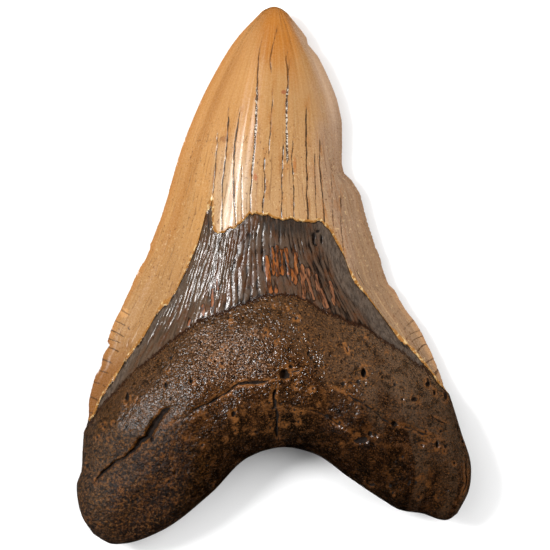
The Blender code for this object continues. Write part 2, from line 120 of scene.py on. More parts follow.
# How the tooth's thickness runs from the tip, 0, to the base, 1. The root starts at ROOT_SHARE.
ROOT_DOME = 18.4
CROWN_DOME = 15.2
ROOT_SHARE = 0.66
RIM_HEIGHT = [
    (0, 5.6), (0.12, 4.8), (0.33, 3.9), (0.5, 4.0), (0.62, 4.8), (0.72, 6.6), (0.85, 8.4), (1, 9.4),
]
CROWN_RISE = [
    (0, 0.26), (0.05, 0.36), (0.12, 0.52), (0.21, 0.70), (0.33, 0.87), (0.44, 0.97), (0.55, 1), (1, 0.9),
]
ROOT_RISE = [(0, 0.8), (0.6, 0.86), (0.70, 0.94), (0.78, 1), (0.87, 0.98), (0.94, 0.93), (1, 0.86)]
CROWN_TO_ROOT = (0.58, 0.76)
ROUND_TIP = 0.06
ROUND_BASE = 0.24
LABIAL_ROUND_BASE = 0.18

# How square the section is, by its power: 2 is an ellipse.
CROWN_FULLNESS = 2.1
ROOT_FULLNESS = 2.5
LABIAL_CROWN_FULLNESS = 2.4
LABIAL_ROOT_FULLNESS = 3
TIP_FULLNESS = 2
BASE_FULLNESS = 2.5

# Relief. A hollow runs beside each cutting edge and a crease along the border of the root, each with a place
# and a width. The step off the enamel has a width on each face, and its depth runs out over the upper root.
EDGE_HOLLOW = 0.6
EDGE_HOLLOW_AT = (0.84, 0.08)
BORDER_CREASE = 0.38
BORDER_CREASE_AT = (0, 1.1)
ENAMEL_STEP = 0.35
LABIAL_ENAMEL_STEP = 0.4
STEP_RUN_OUT = 6
RELIEF_FROM = (0.2, 1.6)

# The root's slow lumps: height, lengths, and how the rows of lumps sway.
ROOT_SWELL = 0.42
LABIAL_SWELL = 0.4 * ROOT_SWELL
SWELL_LENGTHS = (4.1, 4.7)
SWELL_SWAY = ((0.7, 6.3), (0.5, 7.9))
RIPPLE = 0.4
RIPPLE_LENGTHS = (2.3, 3.1)
SWELL_FROM = (1, 6)

# How far the labial face is lifted off the floor at the tip, at the waist and under the arch of the root, and
# how deep its crown and root are then skimmed flat.
LABIAL_TIP_LIFT = 3.2
LABIAL_TIP_REACH = 0.36
LABIAL_WAIST_LIFT = 1.6
LABIAL_WAIST_AT = (0.62, 0.09)
LABIAL_ARCH_LIFT = 2.4
LABIAL_ARCH_FROM = (0.72, 0.95)
LABIAL_ARCH_AT = (0, 0.34)
CROWN_SKIM = 0.5
ROOT_SKIM = 1.4

# Where the enamel ends, the bourlette is bare and the root begins, by the way past their borders.
ENAMEL_ENDS = (0, 0.45)
BARE_BEGINS = (0, 0.5)
BARE_ENDS = (-0.8, 0.3)
ROOT_BEGINS = (-0.3, 1.5)

# Kinds of noise in the relief: strength, lengths across and along, and seed. The enamel's broken edge has
# bites, measured from their usual depth, with splinters between them, and is calmer on the right.
BITES = (1, 2.3, 1, 31)
USUAL_BITE = 0.35
BITE_DEPTH = 0.75
SPLINTERS = (0.28, 0.7, 1, 32)
CALM_EDGE = (12, 16)
CALM_SHARE = 0.4
SOFT_EDGE = (0.35, 2.1, 1, 33)
SAND = (1, 0.95, 1.0)
SAND_HOLLOWS = (1, 0.9, 1.1)
SAND_HOLLOWS_FROM = (0.35, 0.75)
SAND_HOLLOW_DEPTH = 1.1
SAND_HEIGHT = 0.075
LUMP_HEIGHT = 0.2
LUMP_LENGTH = 3.4
ENAMEL_WAVES = (0.12, 3.2, 22, 62)
LABIAL_ENAMEL_WAVES = (0.05, 2.2, 30, 72)

# The bourlette's fibres. STRANDS is half the number of millimetres across which strands are counted.
STRANDS = 46
FIBRE_PITCH = 1.45
FIBRE_SWAY = (0.55, 3, 9, 41)
FIBRE_WAVER = (0.25, 1.5, 3.5, 45)
FIBRE_SHARPNESS = 0.45
FIBRE_TALLNESS = 0.72
FIBRE_UNEVENNESS = (0.42, 1, 5, 42)
FIBRE_TILT = (0.55, 1, 7, 46)
FIBRE_STEPS = (3.7, 5.3)
FIBRE_GRAIN = (0.26, 0.9, 1.5, 44)
FIBRE_FLOOR = 0.45
SMOOTHEST = 0.12
MARGIN_WAVER = (0.3, 3, 3, 47)
MARGIN_FADE = (0.6, 1.2)
UPRIGHT_FROM = (-9, 1)
LOWER_FROM = (-8, 2)
LOWER_SHARE = 0.75
LABIAL_FIBRES = 0.6

# Hairline cracks down the crown, each from its top to its bottom, with its half width.
CROWN_CRACKS = [
    ([
        (-2.1, 63.7), (-3.4, 59.5), (-4.0, 54.6), (-4.5, 45.5), (-4.9, 35.1), (-5.7, 27.3), (-6.2, 15.6),
    ], 0.20),
    ([(1.3, 65.5), (0.0, 60.6), (-1.0, 55.4), (-0.6, 51.5)], 0.13),
    ([(-0.5, 50.0), (-0.5, 44.0), (-1.0, 36.4), (-1.6, 29.4)], 0.07),
    ([(4.2, 60.8), (3.2, 55.9), (3.6, 52.0), (3.2, 44.2), (3.4, 30.4), (3.5, 27.0)], 0.19),
    ([(4.2, 56.0), (3.9, 52.5)], 0.08),
    ([(2.5, 36.4), (2.1, 25.2), (1.8, 14.4)], 0.13),
    ([(5.2, 37.7), (4.7, 29.9), (5.1, 22.1), (5.1, 14.0)], 0.11),
    ([(8.6, 46.4), (8.2, 37.7), (8.3, 29.9), (8.6, 18.2), (8.8, 13.4)], 0.16),
    ([(12.0, 37.2), (11.8, 29.9), (12.6, 20.0), (13.0, 13.4)], 0.14),
    ([(-2.3, 32.0), (-2.6, 28.6), (-2.3, 22.1), (-2.7, 20.3), (-2.9, 15.4)], 0.15),
    ([(-8.3, 45.4), (-9.9, 35.6), (-10.4, 26.0), (-9.9, 12.4)], 0.16),
    ([(-11.5, 45.9), (-12.2, 32.5), (-13.3, 22.1), (-13.3, 11.2)], 0.15),
    ([(-14.8, 39.0), (-14.8, 33.8), (-15.5, 23.4), (-15.9, 19.0)], 0.10),
    ([(17.4, 23.4), (17.4, 14.3), (18.1, 5.0)], 0.09),
    ([(-8.1, 30.0), (-8.3, 22.0), (-8.0, 13.0)], 0.05),
    ([(10.6, 34.0), (10.8, 24.0), (10.9, 14.0)], 0.05),
    ([(14.9, 30.0), (15.0, 20.0), (15.4, 10.0)], 0.04),
]
# The stretches of the two widest cracks that pale grit fills, and how far it fades in at each end.
GRIT_FROM, GRIT_TO = 50.0, 25.0
GRIT_FADES = (3, 4)
GRIT_WIDTH = 0.18
CROWN_CRACK_DEPTH = 0.16
CROWN_CRACK_SHARE = 0.75
CROWN_CRACK_WAVER = (0.10, 1.6)
CROWN_CRACK_BEND = (0.12, 5)
CROWN_CRACK_UNEVENNESS = (0.5, 1.3, 1, 77)
CRACK_BEGINS = (-0.04, 0.18)
CRACK_ENDS = 0.1
CRACK_CLOSES = 0.2
CRACK_WALL = (-0.12, 0.08)
ENDS_IN_CROWN = 25
FINE_AT_TIP = (62, 46)
FINE_SHARE = 0.55

# Spots on the enamel: place, half width and half height, strength and colour as seen on a screen.
ENAMEL_SPOTS = [
    ((-39.1, -9.9), (1.15, 1.2), 0.6, (192, 142, 90)), ((2.6, 47.3), (0.7, 0.6), 0.7, (128, 66, 40)),
    ((-12.9, 35.2), (1.1, 0.8), 0.6, (130, 84, 50)), ((5.3, 28.8), (0.35, 2.2), 0.45, (150, 84, 34)),
    ((-4.8, 25.2), (0.45, 1.1), 0.6, (150, 74, 40)), ((-43.8, -17.4), (0.7, 1.0), 0.6, (110, 50, 30)),
]

# Cracks and grooves in the root: the route, the half width in the middle and the depth.
ROOT_CRACKS = [
    ([
        (-25.6, -33.4), (-28.3, -35.1), (-30.2, -37.7), (-32.2, -40.8), (-34.8, -43.4), (-36.9, -45.5),
        (-39.2, -47.6),
    ], 0.70, 2.0),
    ([(-36.2, -44.9), (-38.7, -47.3), (-41.3, -48.6), (-43.9, -50.7), (-46.3, -53.8)], 0.30, 1.3),
    ([
        (2.3, -25.7), (-1.0, -26.6), (-3.1, -27.6), (-6.2, -27.7), (-8.6, -27.4), (-9.9, -28.3),
        (-12.5, -30.2), (-15.1, -31.7), (-18.2, -33.5), (-21.3, -35.2), (-25.0, -37.2),
    ], 0.30, 0.8),
    ([(-1.8, -27.2), (-3.6, -27.6), (-6.2, -27.7), (-9.4, -27.6)], 0.48, 1.5),
    ([(0.8, -27.6), (0.3, -29.3), (0.0, -31.5), (0.5, -34.8)], 0.5, 1.4),
    ([(0.2, -32.4), (0.5, -34.2), (0.8, -35.9), (0.6, -39.0), (1.0, -41.9), (2.2, -44.2)], 0.44, 0.9),
    ([(3.8, -24.9), (5.6, -24.6), (7.4, -23.4)], 0.2, 0.5),
    ([
        (14.6, -28.1), (19.8, -31.2), (25.0, -34.3), (29.4, -37.7), (32.8, -38.7), (36.7, -40.0),
        (40.6, -42.9),
    ], 0.24, 0.5),
    ([(32.5, -38.0), (36.5, -39.8), (39.5, -41.0), (43.5, -42.0)], 0.16, 0.4),
    ([(40.6, -36.4), (43.2, -37.7), (44.8, -38.6)], 0.22, 0.5),
    ([(17.9, -17.7), (18.4, -18.8), (18.9, -20.0)], 0.22, 0.5),
    ([(49.4, -45.5), (49.8, -50.0), (49.4, -54.0), (48.4, -57.6)], 0.22, 0.6),
    ([(5.0, -35.0), (10.0, -34.8), (16.0, -38.0), (22.0, -41.0)], 0.14, 0.4),
    ([(-25.0, -36.0), (-20.0, -34.2), (-14.0, -31.8)], 0.12, 0.4),
    ([(-28.0, -38.6), (-23.0, -36.6), (-17.0, -34.6)], 0.12, 0.35),
]
ROOT_CRACK_WAVER = (0.30, 1.7, 1.7)
ROOT_CRACK_UNEVENNESS = (0.45, 1.2, 53)
ROOT_CRACK_ENDS = (0.03, 0.97)
ROOT_CRACK_TAPER = 0.6
ROOT_CRACK_WIDENING = (1.35, 0.12)
ROOT_CRACK_STEEPNESS = 0.8

# Pits in the lingual face: place, half length across and along, and depth.
PITS = [
    (2.6, -25.2, 1.25, 1.4, 2.3), (4.3, -23.4, 0.55, 0.6, 1.0), (22.9, -24.9, 0.6, 1.4, 1.6),
    (21.6, -23.4, 0.5, 0.5, 0.6), (22.9, -27.4, 0.3, 0.6, 0.6), (30.7, -38.0, 0.85, 0.75, 1.4),
    (8.8, -20.0, 0.4, 0.8, 0.8), (-10.4, -35.4, 0.6, 0.8, 1.1), (-21.1, -27.2, 0.55, 0.65, 1.2),
    (-37.7, -31.2, 0.4, 1.0, 1.0), (-27.6, -28.3, 0.45, 0.8, 0.9), (22.4, -42.2, 1.7, 0.8, 0.9),
    (24.6, -40.6, 0.5, 0.6, 0.8), (41.8, -43.5, 0.45, 1.1, 1.0), (39.8, -28.1, 0.6, 0.7, 0.9),
    (41.4, -30.4, 0.4, 0.8, 0.8), (44.5, -31.4, 0.45, 0.9, 0.8), (36.0, -31.9, 0.7, 0.6, 0.8),
    (32.8, -31.8, 0.45, 0.45, 0.6), (26.0, -40.8, 0.4, 0.5, 0.6), (-31.2, -42.1, 0.5, 0.5, 0.9),
    (25.4, -54.0, 1.3, 0.6, 0.6), (-15.0, -22.1, 0.4, 0.4, 0.8), (44.4, -55.4, 0.9, 0.4, 0.6),
    (-48.1, -63.2, 0.5, 0.35, 0.6), (-4.8, -40.2, 0.9, 0.4, 0.7), (-25.3, -50.6, 0.3, 0.9, 0.6),
    (23.5, -28.4, 0.4, 0.4, 0.6), (46.4, -48.4, 0.5, 0.4, 0.6), (38.0, -43.6, 0.6, 0.35, 0.6),
    (10.2, 9.6, 0.5, 2.0, 0.7), (11.2, 11.3, 1.0, 0.5, 0.6), (12.2, 9.0, 0.4, 1.6, 0.6),
    (10.9, 7.7, 0.6, 0.5, 0.5), (-16.9, 13.0, 0.35, 3.6, 0.4),
]
PIT_RAGGEDNESS = (0.35, 0.8, 0.8, 55)
PIT_MOUTH = 1.25
PIT_WALL = 0.9
SUNK = 0.8

# Pores strewn over the root: how many on each face, the box they lie in, their radius, and their length and
# depth for each radius.
LINGUAL_PORES = (170, 5)
LABIAL_PORES = (150, 6)
PORES_ACROSS = (-50, 50)
PORES_ALONG = (-69, -8)
PORE_RADIUS = (0.18, 0.42)
PORE_LENGTH = 1.2
PORE_DEPTH = 1.1
PORE_SUNK = 0.2

# Along the enamel the bourlette is smooth. How wide that margin is, from left to right.
SMOOTH_MARGIN = [
    (-46, 1.4), (-30, 2.0), (-24, 1.8), (-20, 0.6), (-9, 0.7), (-4, 2.4), (8, 2.6), (12, 3.4), (20, 4.2),
    (27, 3.4), (33, 2.2), (42, 1.2),
]

# Flakes of rusty skin left on the bourlette: upper end, lower end and half width.
FLAKES = [
    ((-2.0, 4.6), (-0.9, -4.2), 0.50), ((-0.4, 6.8), (-0.1, 0.4), 0.34), ((0.75, 7.2), (0.95, 0.0), 0.34),
    ((1.9, 6.2), (2.2, 0.2), 0.30), ((3.0, 6.6), (3.9, 0.4), 0.36), ((5.6, 5.6), (5.6, -2.2), 0.46),
    ((4.6, 1.4), (4.8, -1.2), 0.28), ((7.2, 2.0), (7.8, -5.8), 0.50), ((8.5, 1.4), (9.4, -3.7), 0.44),
    ((10.9, 0.0), (11.4, -3.6), 0.44), ((12.2, -4.0), (13.5, -8.2), 0.62),
    ((14.5, -2.0), (15.7, -7.8), 0.42), ((0.5, -2.8), (0.6, -4.5), 0.32),
    ((-18.3, -8.2), (-18.0, -10.6), 0.45), ((-15.8, -3.4), (-15.7, -9.6), 0.26),
    ((-14.6, -1.0), (-14.5, -3.8), 0.2), ((-21.6, -11.4), (-21.9, -13.2), 0.3),
    ((9.8, -4.6), (10.2, -6.4), 0.3),
]
FLAKE_TEAR = (0.2, 1.2, 1.3, 57)
FLAKE_RIM = (-0.12, 0.1)
FLAKE_TOP = 0.95
FLAKE_SKIN = (0.1, 1, 3, 48)

# Serrations are worn low. On each side, how high they stand between two heights of the tooth, and where the
# scallops between them begin and all of them end.
LEAST_SERRATION = 0.1
RIGHT_SERRATION = (0.4, 40, 22)
LEFT_SERRATION = (0.2, 30, 0)
SERRATIONS_END = (-36, -31)
SCALLOPS_BEGIN = (30, 0)
SCALLOP_DEPTH = 0.2
SCALLOP_LENGTH = 2.9
SERRATION_WAVER = (0.5, 2.2, 1, 81)
SERRATION_UNEVENNESS = (0.6, 1.7, 1, 83)

# The grid. Its steps are even in number both ways, because the labial face uses every second row and column.
COLUMNS = 340
CROWN_ROWS = np.concatenate([np.linspace(0, 0.985, 84), [0.992, 0.9965]])
BOURLETTE_ROWS = np.linspace(0, 1, 37)[:-1] ** 1.5
ROOT_ROWS = np.linspace(0, 1, 103) ** 0.97
LABIAL_STRIDE = 2
RIM_CUTS = 3
RIM_BAND = 0.9
ROOT_RIM_BAND = 0.03
RIM_BAND_ENDS = (0.7, 0.78)
GATHERING = (0.35, 0.95)
GATHERING_BETWEEN = (0.5, 0.8)
SEARCH = (0.3, 0.9)
BOURLETTE_LEAST = 0.004
ROOT_STARTS_BY = 0.95
HALVINGS = 26
BORDER_SPAN = 10
BORDER_STEPS = 100
ROUTE_STEPS = 24
LEAST_SQUARENESS = 0.15
NOISE_CELLS = 256
WELD = 1e-7
SHARP_ANGLE = 52
MANY = 30.0

# The finish is built up in washes, in order. Each wash has its colour, by name or as seen on a screen, its
# strength, and what bounds it: readings, each with the values at which the wash is absent and full, or at
# which it has the two strengths that follow. Readings of places and distances are in millimetres, and those
# of noise run from 0 to 1.
ENAMEL_WASHES = [
    ("enamel", 1, [("sideways", -16, 2)]),
    ("enamel_right", 1, [("sideways", 6, 22)]),
    ("enamel_low", 0.9, [("sideways", 11, 23)]),
    ((188, 136, 82), 0.45, [("upward", 16, 40), ("x", 0, -8)]),
    ((164, 130, 92), 0.7, [("upward", 42, 18), ("from_axis", 16, 8)]),
    # Painted highlight: a pale cream band low on the crown's left, where the key light glints.
    ((184, 160, 130), 0.6, [("from_worn_band", 7, 3), ("y", 40, 24)]),
    ((146, 110, 72), 0.75, [("x", -18, -24), ("y", 22, -12)]),
    ("tip", 1, [("upward", 44, 62), ("from_ridge", 8, 2, 0.25, 0.9)]),
    # Painted shade in the shallow hollow beside the left cutting edge.
    ((150, 96, 42), 0.45, [("from_edge_hollow", 2.4, 0.6), ("x", -6, -12), ("y", 2, 14)]),
    # Painted sheen: a pale grey band along the upper right cutting edge.
    ((170, 146, 126), 0.6, [("from_rim", 5, 2), ("x", 3, 6), ("y", 30, 48)]),
    ((142, 96, 52), 0.3, [("streaks", 0.42, 0.68)]),
    ((176, 140, 96), 0.35, [("streaks", 0.5, 0.3)]),
    ((104, 70, 42), 0.5, [("hairlines", 0.13, 0.05), ("breaks", 0.45, 0.6), ("y", 50, 30)]),
    ("stain", 0.55, [("crack", 1.8, 0), ("stains", 0.48, 0.66)]),
    ((92, 56, 32), 0.7, [("specks", 0.66, 0.72), ("y", 50, 30)]),
    ((196, 164, 120), 0.5, [("specks", 0.34, 0.28), ("y", 50, 30)]),
    ("rim_tone", 1, [("from_rim", 2, 0.2), ("x", -2, 6, 0.6, 0.35)]),
    ("foot", 0.85, [("y", -12, -28), ("x", 10, -10)]),
]
RIM_WASHES = [
    ((126, 94, 66), 1, [("x", -2, 6)]),
    ((172, 122, 80), 1, [("x", 20, 28), ("y", 0, -6)]),
]
# The last washes of the enamel, over its spots: short arcs in from the rim, painted shade beside the cracks,
# and the cracks.
CRACK_WASHES = [
    ((70, 46, 28), 0.85, [("arcs", 0.07, 0.03), ("arc_end", 0.3, -0.5), ("arc_top", -2, -14)]),
    # Painted shade: a faint darker brown along the frayed edges of the cracks.
    ((110, 74, 42), 0.25, [("frayed_crack", 0.3, 0.06)]),
    ("crack_tone", 0.92, [("open_crack", 0.08, 0)]),
]
CLOUD_SWAY_X = 22
CLOUD_SWAY_Y = 30
RIDGE_X = 1.5
# Middle of the painted highlight's band on the crown.
PAINTED_GLOSS_X = -10.5
# How far in from the rim the painted shade of the edge hollow lies.
HOLLOW_FROM_RIM = 4
SPOT_EDGE = (1.1, 0.85)
SPOT_RAGGEDNESS = 6
CRACK_TONE = (44, 30, 22)
CRACK_TONE_WASHES = [((86, 52, 22), 1, [("y", 42, 56)])]
GRIT_TONE = (192, 180, 164)
GRIT_LIES = [("gritty", 0.51, 0.58)]
BOURLETTE_WASHES = [
    # Painted shade: the fibres' own brown comes up on their crests, and the grooves between them keep a
    # near-black tone.
    ("fibre", 1, [("fibre_relief", 0.15, 0.7)]),
    ((96, 78, 62), 0.45, [("x", -6, -20)]),
    ("rust", 0.65, [("rusty", 0.46, 0.64)]),
    # The slate margins' grey is partly their own tone and partly painted sheen of the light from the right,
    # which gives no glints.
    ("slate_tone", 0.85, [("slate_depth", 4, 2), ("x", 9, 13)]),
    ("slate_tone", 0.85, [("slate_depth", 1.6, 0.6), ("x", -20, -26)]),
    ((42, 35, 29), 0.9, [("from_middle", 7.5, 4.5), ("slate_depth", 4.5, 1.5), ("threads", 0.72, 0.46)]),
    ((10, 7, 6), 0.6, [("threads", 0.42, 0.3)]),
    ((16, 10, 7), 0.8, [("torn_flake", 0.34, 0.14)]),
    ("flake_tone", 1, [("torn_flake", 0.08, -0.06)]),
]
BOURLETTE_MIDDLE_X = 2.5
SLATE_WASHES = [((58, 49, 42), 0.8, [("slates", 0.6, 0.4)])]
FLAKE_WASHES = [
    ("flake_right", 1, [("x", 4, 9)]),
    ((44, 26, 16), 0.85, [("grooves", 0.54, 0.4)]),
    ((146, 96, 58), 0.6, [("grooves", 0.56, 0.68)]),
]
ROOT_WASHES = [
    # Down the root: redder in the middle, and darker towards the base, the darkening painted shade of the
    # lower root turning from the light.
    ("root_middle", 1, [("downward", 4, 22)]),
    ("root_lower", 1, [("downward", 20, 36)]),
    # Paler and greyer upper right of the root: partly the bone's tone, partly painted sheen of the light from
    # the right.
    ((92, 74, 58), 0.6, [("x", 8, 34), ("downward", 26, 4)]),
    ("grain", 0.3, [("mottle", 0.5, 0.64)]),
    ((12, 7, 4), 0.5, [("mottle", 0.5, 0.36)]),
    # Painted shade in the hollows of the grain.
    ((12, 7, 4), 0.6, [("texture", -0.3, -1)]),
    ((118, 76, 38), 1, [("grains", 0.55, 0.67), ("downward", 8, 34, 0.85, 0.65)]),
    ((7, 4, 2), 0.85, [("grains", 0.46, 0.34)]),
    ((112, 70, 34), 0.4, [("downward", 8, 22), ("blotches", 0.54, 0.64)]),
    ((9, 5, 3), 0.6, [("downward", 8, 22), ("blotches", 0.45, 0.36)]),
    # Painted highlight: orange-brown on the rims of the pits and cracks, as if lit.
    ((132, 84, 42), 0.75, [("hollow", 0.9, 0.2), ("clouds", 0.4, 0.55), ("mottle", 0.4, 0.55)]),
    # Painted sheen: pale grains on the upper root where the key light glints.
    ((156, 120, 94), 0.4, [("beside_sheen", 13, 6), ("off_sheen", 9, 4), ("grains", 0.48, 0.64)]),
    # Painted shade: the lower lobes darker, most on the left.
    ((150, 140, 126), 0.75, [("lobe", -28, -50), ("x", -44, -20, 0.6, 1)], "MULTIPLY"),
    ((255, 240, 164), 1, [("x", -12, -28), ("cloudy_y", -26, -44)], "MULTIPLY"),
    ((126, 82, 36), 0.34, [("x", -12, -28), ("cloudy_y", -26, -44), ("coarse", 0.53, 0.68)]),
    ((4, 2, 1), 0.7, [("x", -12, -28), ("cloudy_y", -26, -44), ("coarse", 0.49, 0.4)]),
]
PATCH_SWAY = 30
# Middle of the painted sheen on the root.
SHEEN_X = -11
SHEEN_Y = -21

# Where the looks of the bourlette and the root set in past their torn borders, and washes along those borders
# and in the hollows: the red-brown border, darkened in its crease as painted shade, a painted shadow under
# the enamel's lip, and painted shade in the hollows.
BARE_LOOKS = (0.12, 0.35)
ROOT_LOOKS = (-0.5, 0.7)
# The border's red-brown is partly its own tone and partly painted shade in the crease where the bourlette
# steps down to the root.
BORDER_WASHES = [("border", 0.85, [("torn_border", -0.4, -0.15), ("torn_border", 0.55, 0.25)])]
# Painted shadow: a near-black band just below the enamel's broken lip, lighter at the spike of enamel on the
# left.
LIP_SHADOW_TONE = (10, 7, 5)
LIP_SHADOW_BOUNDS = [("torn_enamel", 0.28, 0.38), ("torn_enamel", 0.66, 0.46)]
LIP_SHADOW_STRENGTH = 0.75
LIP_SHADOW_SPIKE = [("y", 6.5, 9), ("x", -13, -14.5)]
LIP_SHADOW_SPIKE_CUT = -0.6
LIP_WASHES = [("lip_tone", 1, [("torn_enamel", -0.42, -0.2), ("torn_enamel", 0.36, 0.24)])]
LIP_TONE_WASHES = [((196, 164, 114), 1, [("lip_noise", 0.5, 0.66)])]
# Painted shade: near-black inside the pits, pores and cracks.
HOLLOW_SHADE_WASHES = [((8, 5, 4), 0.93, [("hollow", 0.08, -0.12)])]

# Roughness: the range that noise gives each surface, and where the bourlette and the root are duller.
GLOSS_NOISE = (0.3, 0.7)
ENAMEL_ROUGHNESS = (0.19, 0.34)
BARE_ROUGHNESS = (0.12, 0.28)
ROOT_ROUGHNESS = (0.12, 0.26)
HOLLOW_ROUGHNESS = 0.9
BARE_DULL = [(0.25, [("patches", 0.42, 0.54), ("x", -12, -6)])]
ROOT_DULL = [
    (0.14, [("ragged_x", -17, -25), ("ragged_y", -28, -42, 0.3, 1)]),
    (0.12, [("y", -24, -36)]),
    (0.26, [("x", -18, -27), ("matt_y", -35, -43)]),
]
ROUGH_SWAY = 16
MATT_SWAY = 20
FLAKE_ROUGHNESS = (0.5, [("flake", 0.3, -0.1), ("x", -6, -10)])
SPECULAR = 0.45

# Bump: the strengths of threads, of sand and of the skin, the share of the sand that the bourlette has, and
# how strong it is over the root.
FIBRE_BUMP = 0.12
SAND_BUMP = 0.75
BARE_SAND = 0.2
SKIN_BUMP = 0.03
UPPER_SAND = (1, [("y", -26, -38, 1, 0.4)])
LEFT_SAND = (0.9, [("x", -20, -29)])
MIDDLE_SAND = (1, [("from_sand", 24, 12, 0.8, 1.25)])
SAND_MIDDLE_X = -10
BUMP_DISTANCE = 0.0006

# The stage: where the lights and the camera stand, in metres, and how many pixels and millimetres it sees.
KEY_FROM = (-0.64, 0.23, 0.8)
SOFT_FROM = (-0.48, 0.2, 0.9)
FILL_FROM = (0.72, 0.15, 0.72)
KEY_SIZE = 0.33
WIDE_SIZE = 1.0
FLOOR_GAP = 0.0002
MIDDLE_HEIGHT = 0.008
SENSOR_WIDTH = 36
PICTURE_WIDTH = 550
PIXEL = 0.26
CAMERA_ASIDE = 1
FLOOR_CLOUDS = 30
FLOOR_TONES = ((250, 250, 250), (247, 247, 247))
FLOOR_ROUGHNESS = 0.9
FLOOR_SPECULAR = 0.1


def paint(red, green, blue):
    """A colour as seen on a screen, 0 to 255, in the linear values that Blender's sockets take."""
    seen = np.array([red, green, blue]) / 255
    return tuple(np.where(seen <= 0.04045, seen / 12.92, ((seen + 0.055) / 1.055) ** 2.4))


def smoothstep(value, low, high):
    """0 below low, 1 above high, with an even S between."""
    t = np.clip((value - low) / (high - low), 0, 1)
    return t * t * (3 - 2 * t)


def mix(a, b, share):
    return a + (b - a) * share


def smooth_through(places, values, wanted):
    """The values at the wanted places on a smooth curve through the given ones."""
    places, values, wanted = np.asarray(places, float), np.asarray(values, float), np.asarray(wanted, float)
    slopes = np.gradient(values, places, axis=0)
    i = np.clip(np.searchsorted(places, wanted, side="right") - 1, 0, len(places) - 2)
    gap = places[i + 1] - places[i]
    t = (wanted - places[i]) / gap
    if values.ndim > 1:
        t, gap = t[..., None], gap[..., None]
    start = values[i] * (2 * t**3 - 3 * t**2 + 1) + slopes[i] * gap * (t**3 - 2 * t**2 + t)
    return start + values[i + 1] * (3 * t**2 - 2 * t**3) + slopes[i + 1] * gap * (t**3 - t**2)


def along_route(points, share):
    """Points at shares of the length of a smooth route."""
    points = np.array(points)
    steps = np.hypot(*np.diff(points, axis=0).T)
    return smooth_through(np.concatenate([[0], np.cumsum(steps)]) / steps.sum(), points, share)


def graph(knots, share):
    places, values = zip(*knots)
    return smooth_through(places, values, share)


def shoulder(share, power):
    """Height of a round-shouldered section at a share of the way from its middle to its edge."""
    return np.maximum(1 - np.clip(share, 0, 1) ** power, 0) ** (1 / power)


def swelling(value, place, width):
    """A smooth swelling of height 1 about a place."""
    return np.exp(-(((value - place) / width) ** 2))


def noise(x, y, seed):
    """Smooth noise from -1 to 1, with one lump for each unit of x and y."""
    lattice = np.random.default_rng(seed).uniform(-1, 1, (NOISE_CELLS, NOISE_CELLS))
    i, j = np.floor(x).astype(int), np.floor(y).astype(int)
    u, v = smoothstep(x - i, 0, 1), smoothstep(y - j, 0, 1)
    i, j, k, m = i % NOISE_CELLS, j % NOISE_CELLS, (i + 1) % NOISE_CELLS, (j + 1) % NOISE_CELLS
    return mix(mix(lattice[i, j], lattice[k, j], u), mix(lattice[i, m], lattice[k, m], u), v)


def uneven(x, y, strength, across, along, seed):
    """Noise of a strength, with lumps so many millimetres across and along."""
    return strength * noise(x / across, y / along, seed)


def layered(x, y, strength, across, along, seed):
    """Such noise with finer and weaker noise laid over it."""
    x, y = x / across, y / along
    return strength * (noise(x, y, seed) + noise(x * 2 + 9, y * 2, seed + 1) / 2)


def distance_to(route, x, y, steps=ROUTE_STEPS):
    """How far each point is from a route, and the share of the route's length at which it is nearest."""
    points = along_route(route, np.linspace(0, 1, steps + 1))
    nearest, share = np.full(x.shape, np.inf), np.zeros(x.shape)
    for step, ((ax, ay), (bx, by)) in enumerate(zip(points, points[1:])):
        run_x, run_y = bx - ax, by - ay
        t = np.clip(((x - ax) * run_x + (y - ay) * run_y) / (run_x**2 + run_y**2), 0, 1)
        away = np.hypot(x - ax - t * run_x, y - ay - t * run_y)
        share = np.where(away < nearest, (step + t) / steps, share)
        nearest = np.minimum(nearest, away)
    return nearest, share


def plan(across, along):
    """Points of the plan. across runs from 0 at the left side to 1, and along from 0 at the tip to 1."""
    a, b = np.asarray(across)[..., None], np.asarray(along)[..., None]
    ends = along_route(TIP, across) * (1 - b) + along_route(ROOT_BASE, across) * b
    sides = along_route(LEFT_SIDE, along) * (1 - a) + along_route(RIGHT_SIDE, along) * a
    tip_chord = np.array(TIP[0]) * (1 - a) + np.array(TIP[-1]) * a
    base_chord = np.array(ROOT_BASE[0]) * (1 - a) + np.array(ROOT_BASE[-1]) * a
    return ends + sides - tip_chord * (1 - b) - base_chord * b


def chipped(points, across):
    """The points moved in from the sides where the rim is chipped, and less so further from the rim."""
    x, y = np.moveaxis(points, -1, 0)
    shift = 0 * x
    for sign, chips in ((-1, LEFT_CHIPS), (1, RIGHT_CHIPS)):
        places, depths = np.array(chips[::-1]).T
        from_rim = (0.5 - sign * (across - 0.5)) * HALF_WIDTH
        shift -= sign * np.interp(y, places, depths) * swelling(from_rim, 0, CHIP_REACH)
    return np.stack([x + shift, y], axis=-1)


def spread(place, along):
    """Where a column, placed from -1 to 1, lies across. The root's columns gather towards its flanks."""
    gathering = mix(*GATHERING, smoothstep(along, *GATHERING_BETWEEN))
    gathered = mix(place, np.sin(place * np.pi / 2), gathering)
    width = np.abs(along_route(RIGHT_SIDE, along) - along_route(LEFT_SIDE, along))[..., 0]
    band = mix(RIM_BAND, ROOT_RIM_BAND, smoothstep(along, *RIM_BAND_ENDS)) / width
    inside = gathered * (1 - 2 * band)
    return 0.5 + 0.5 * np.where(np.abs(place) == 1, place, inside)


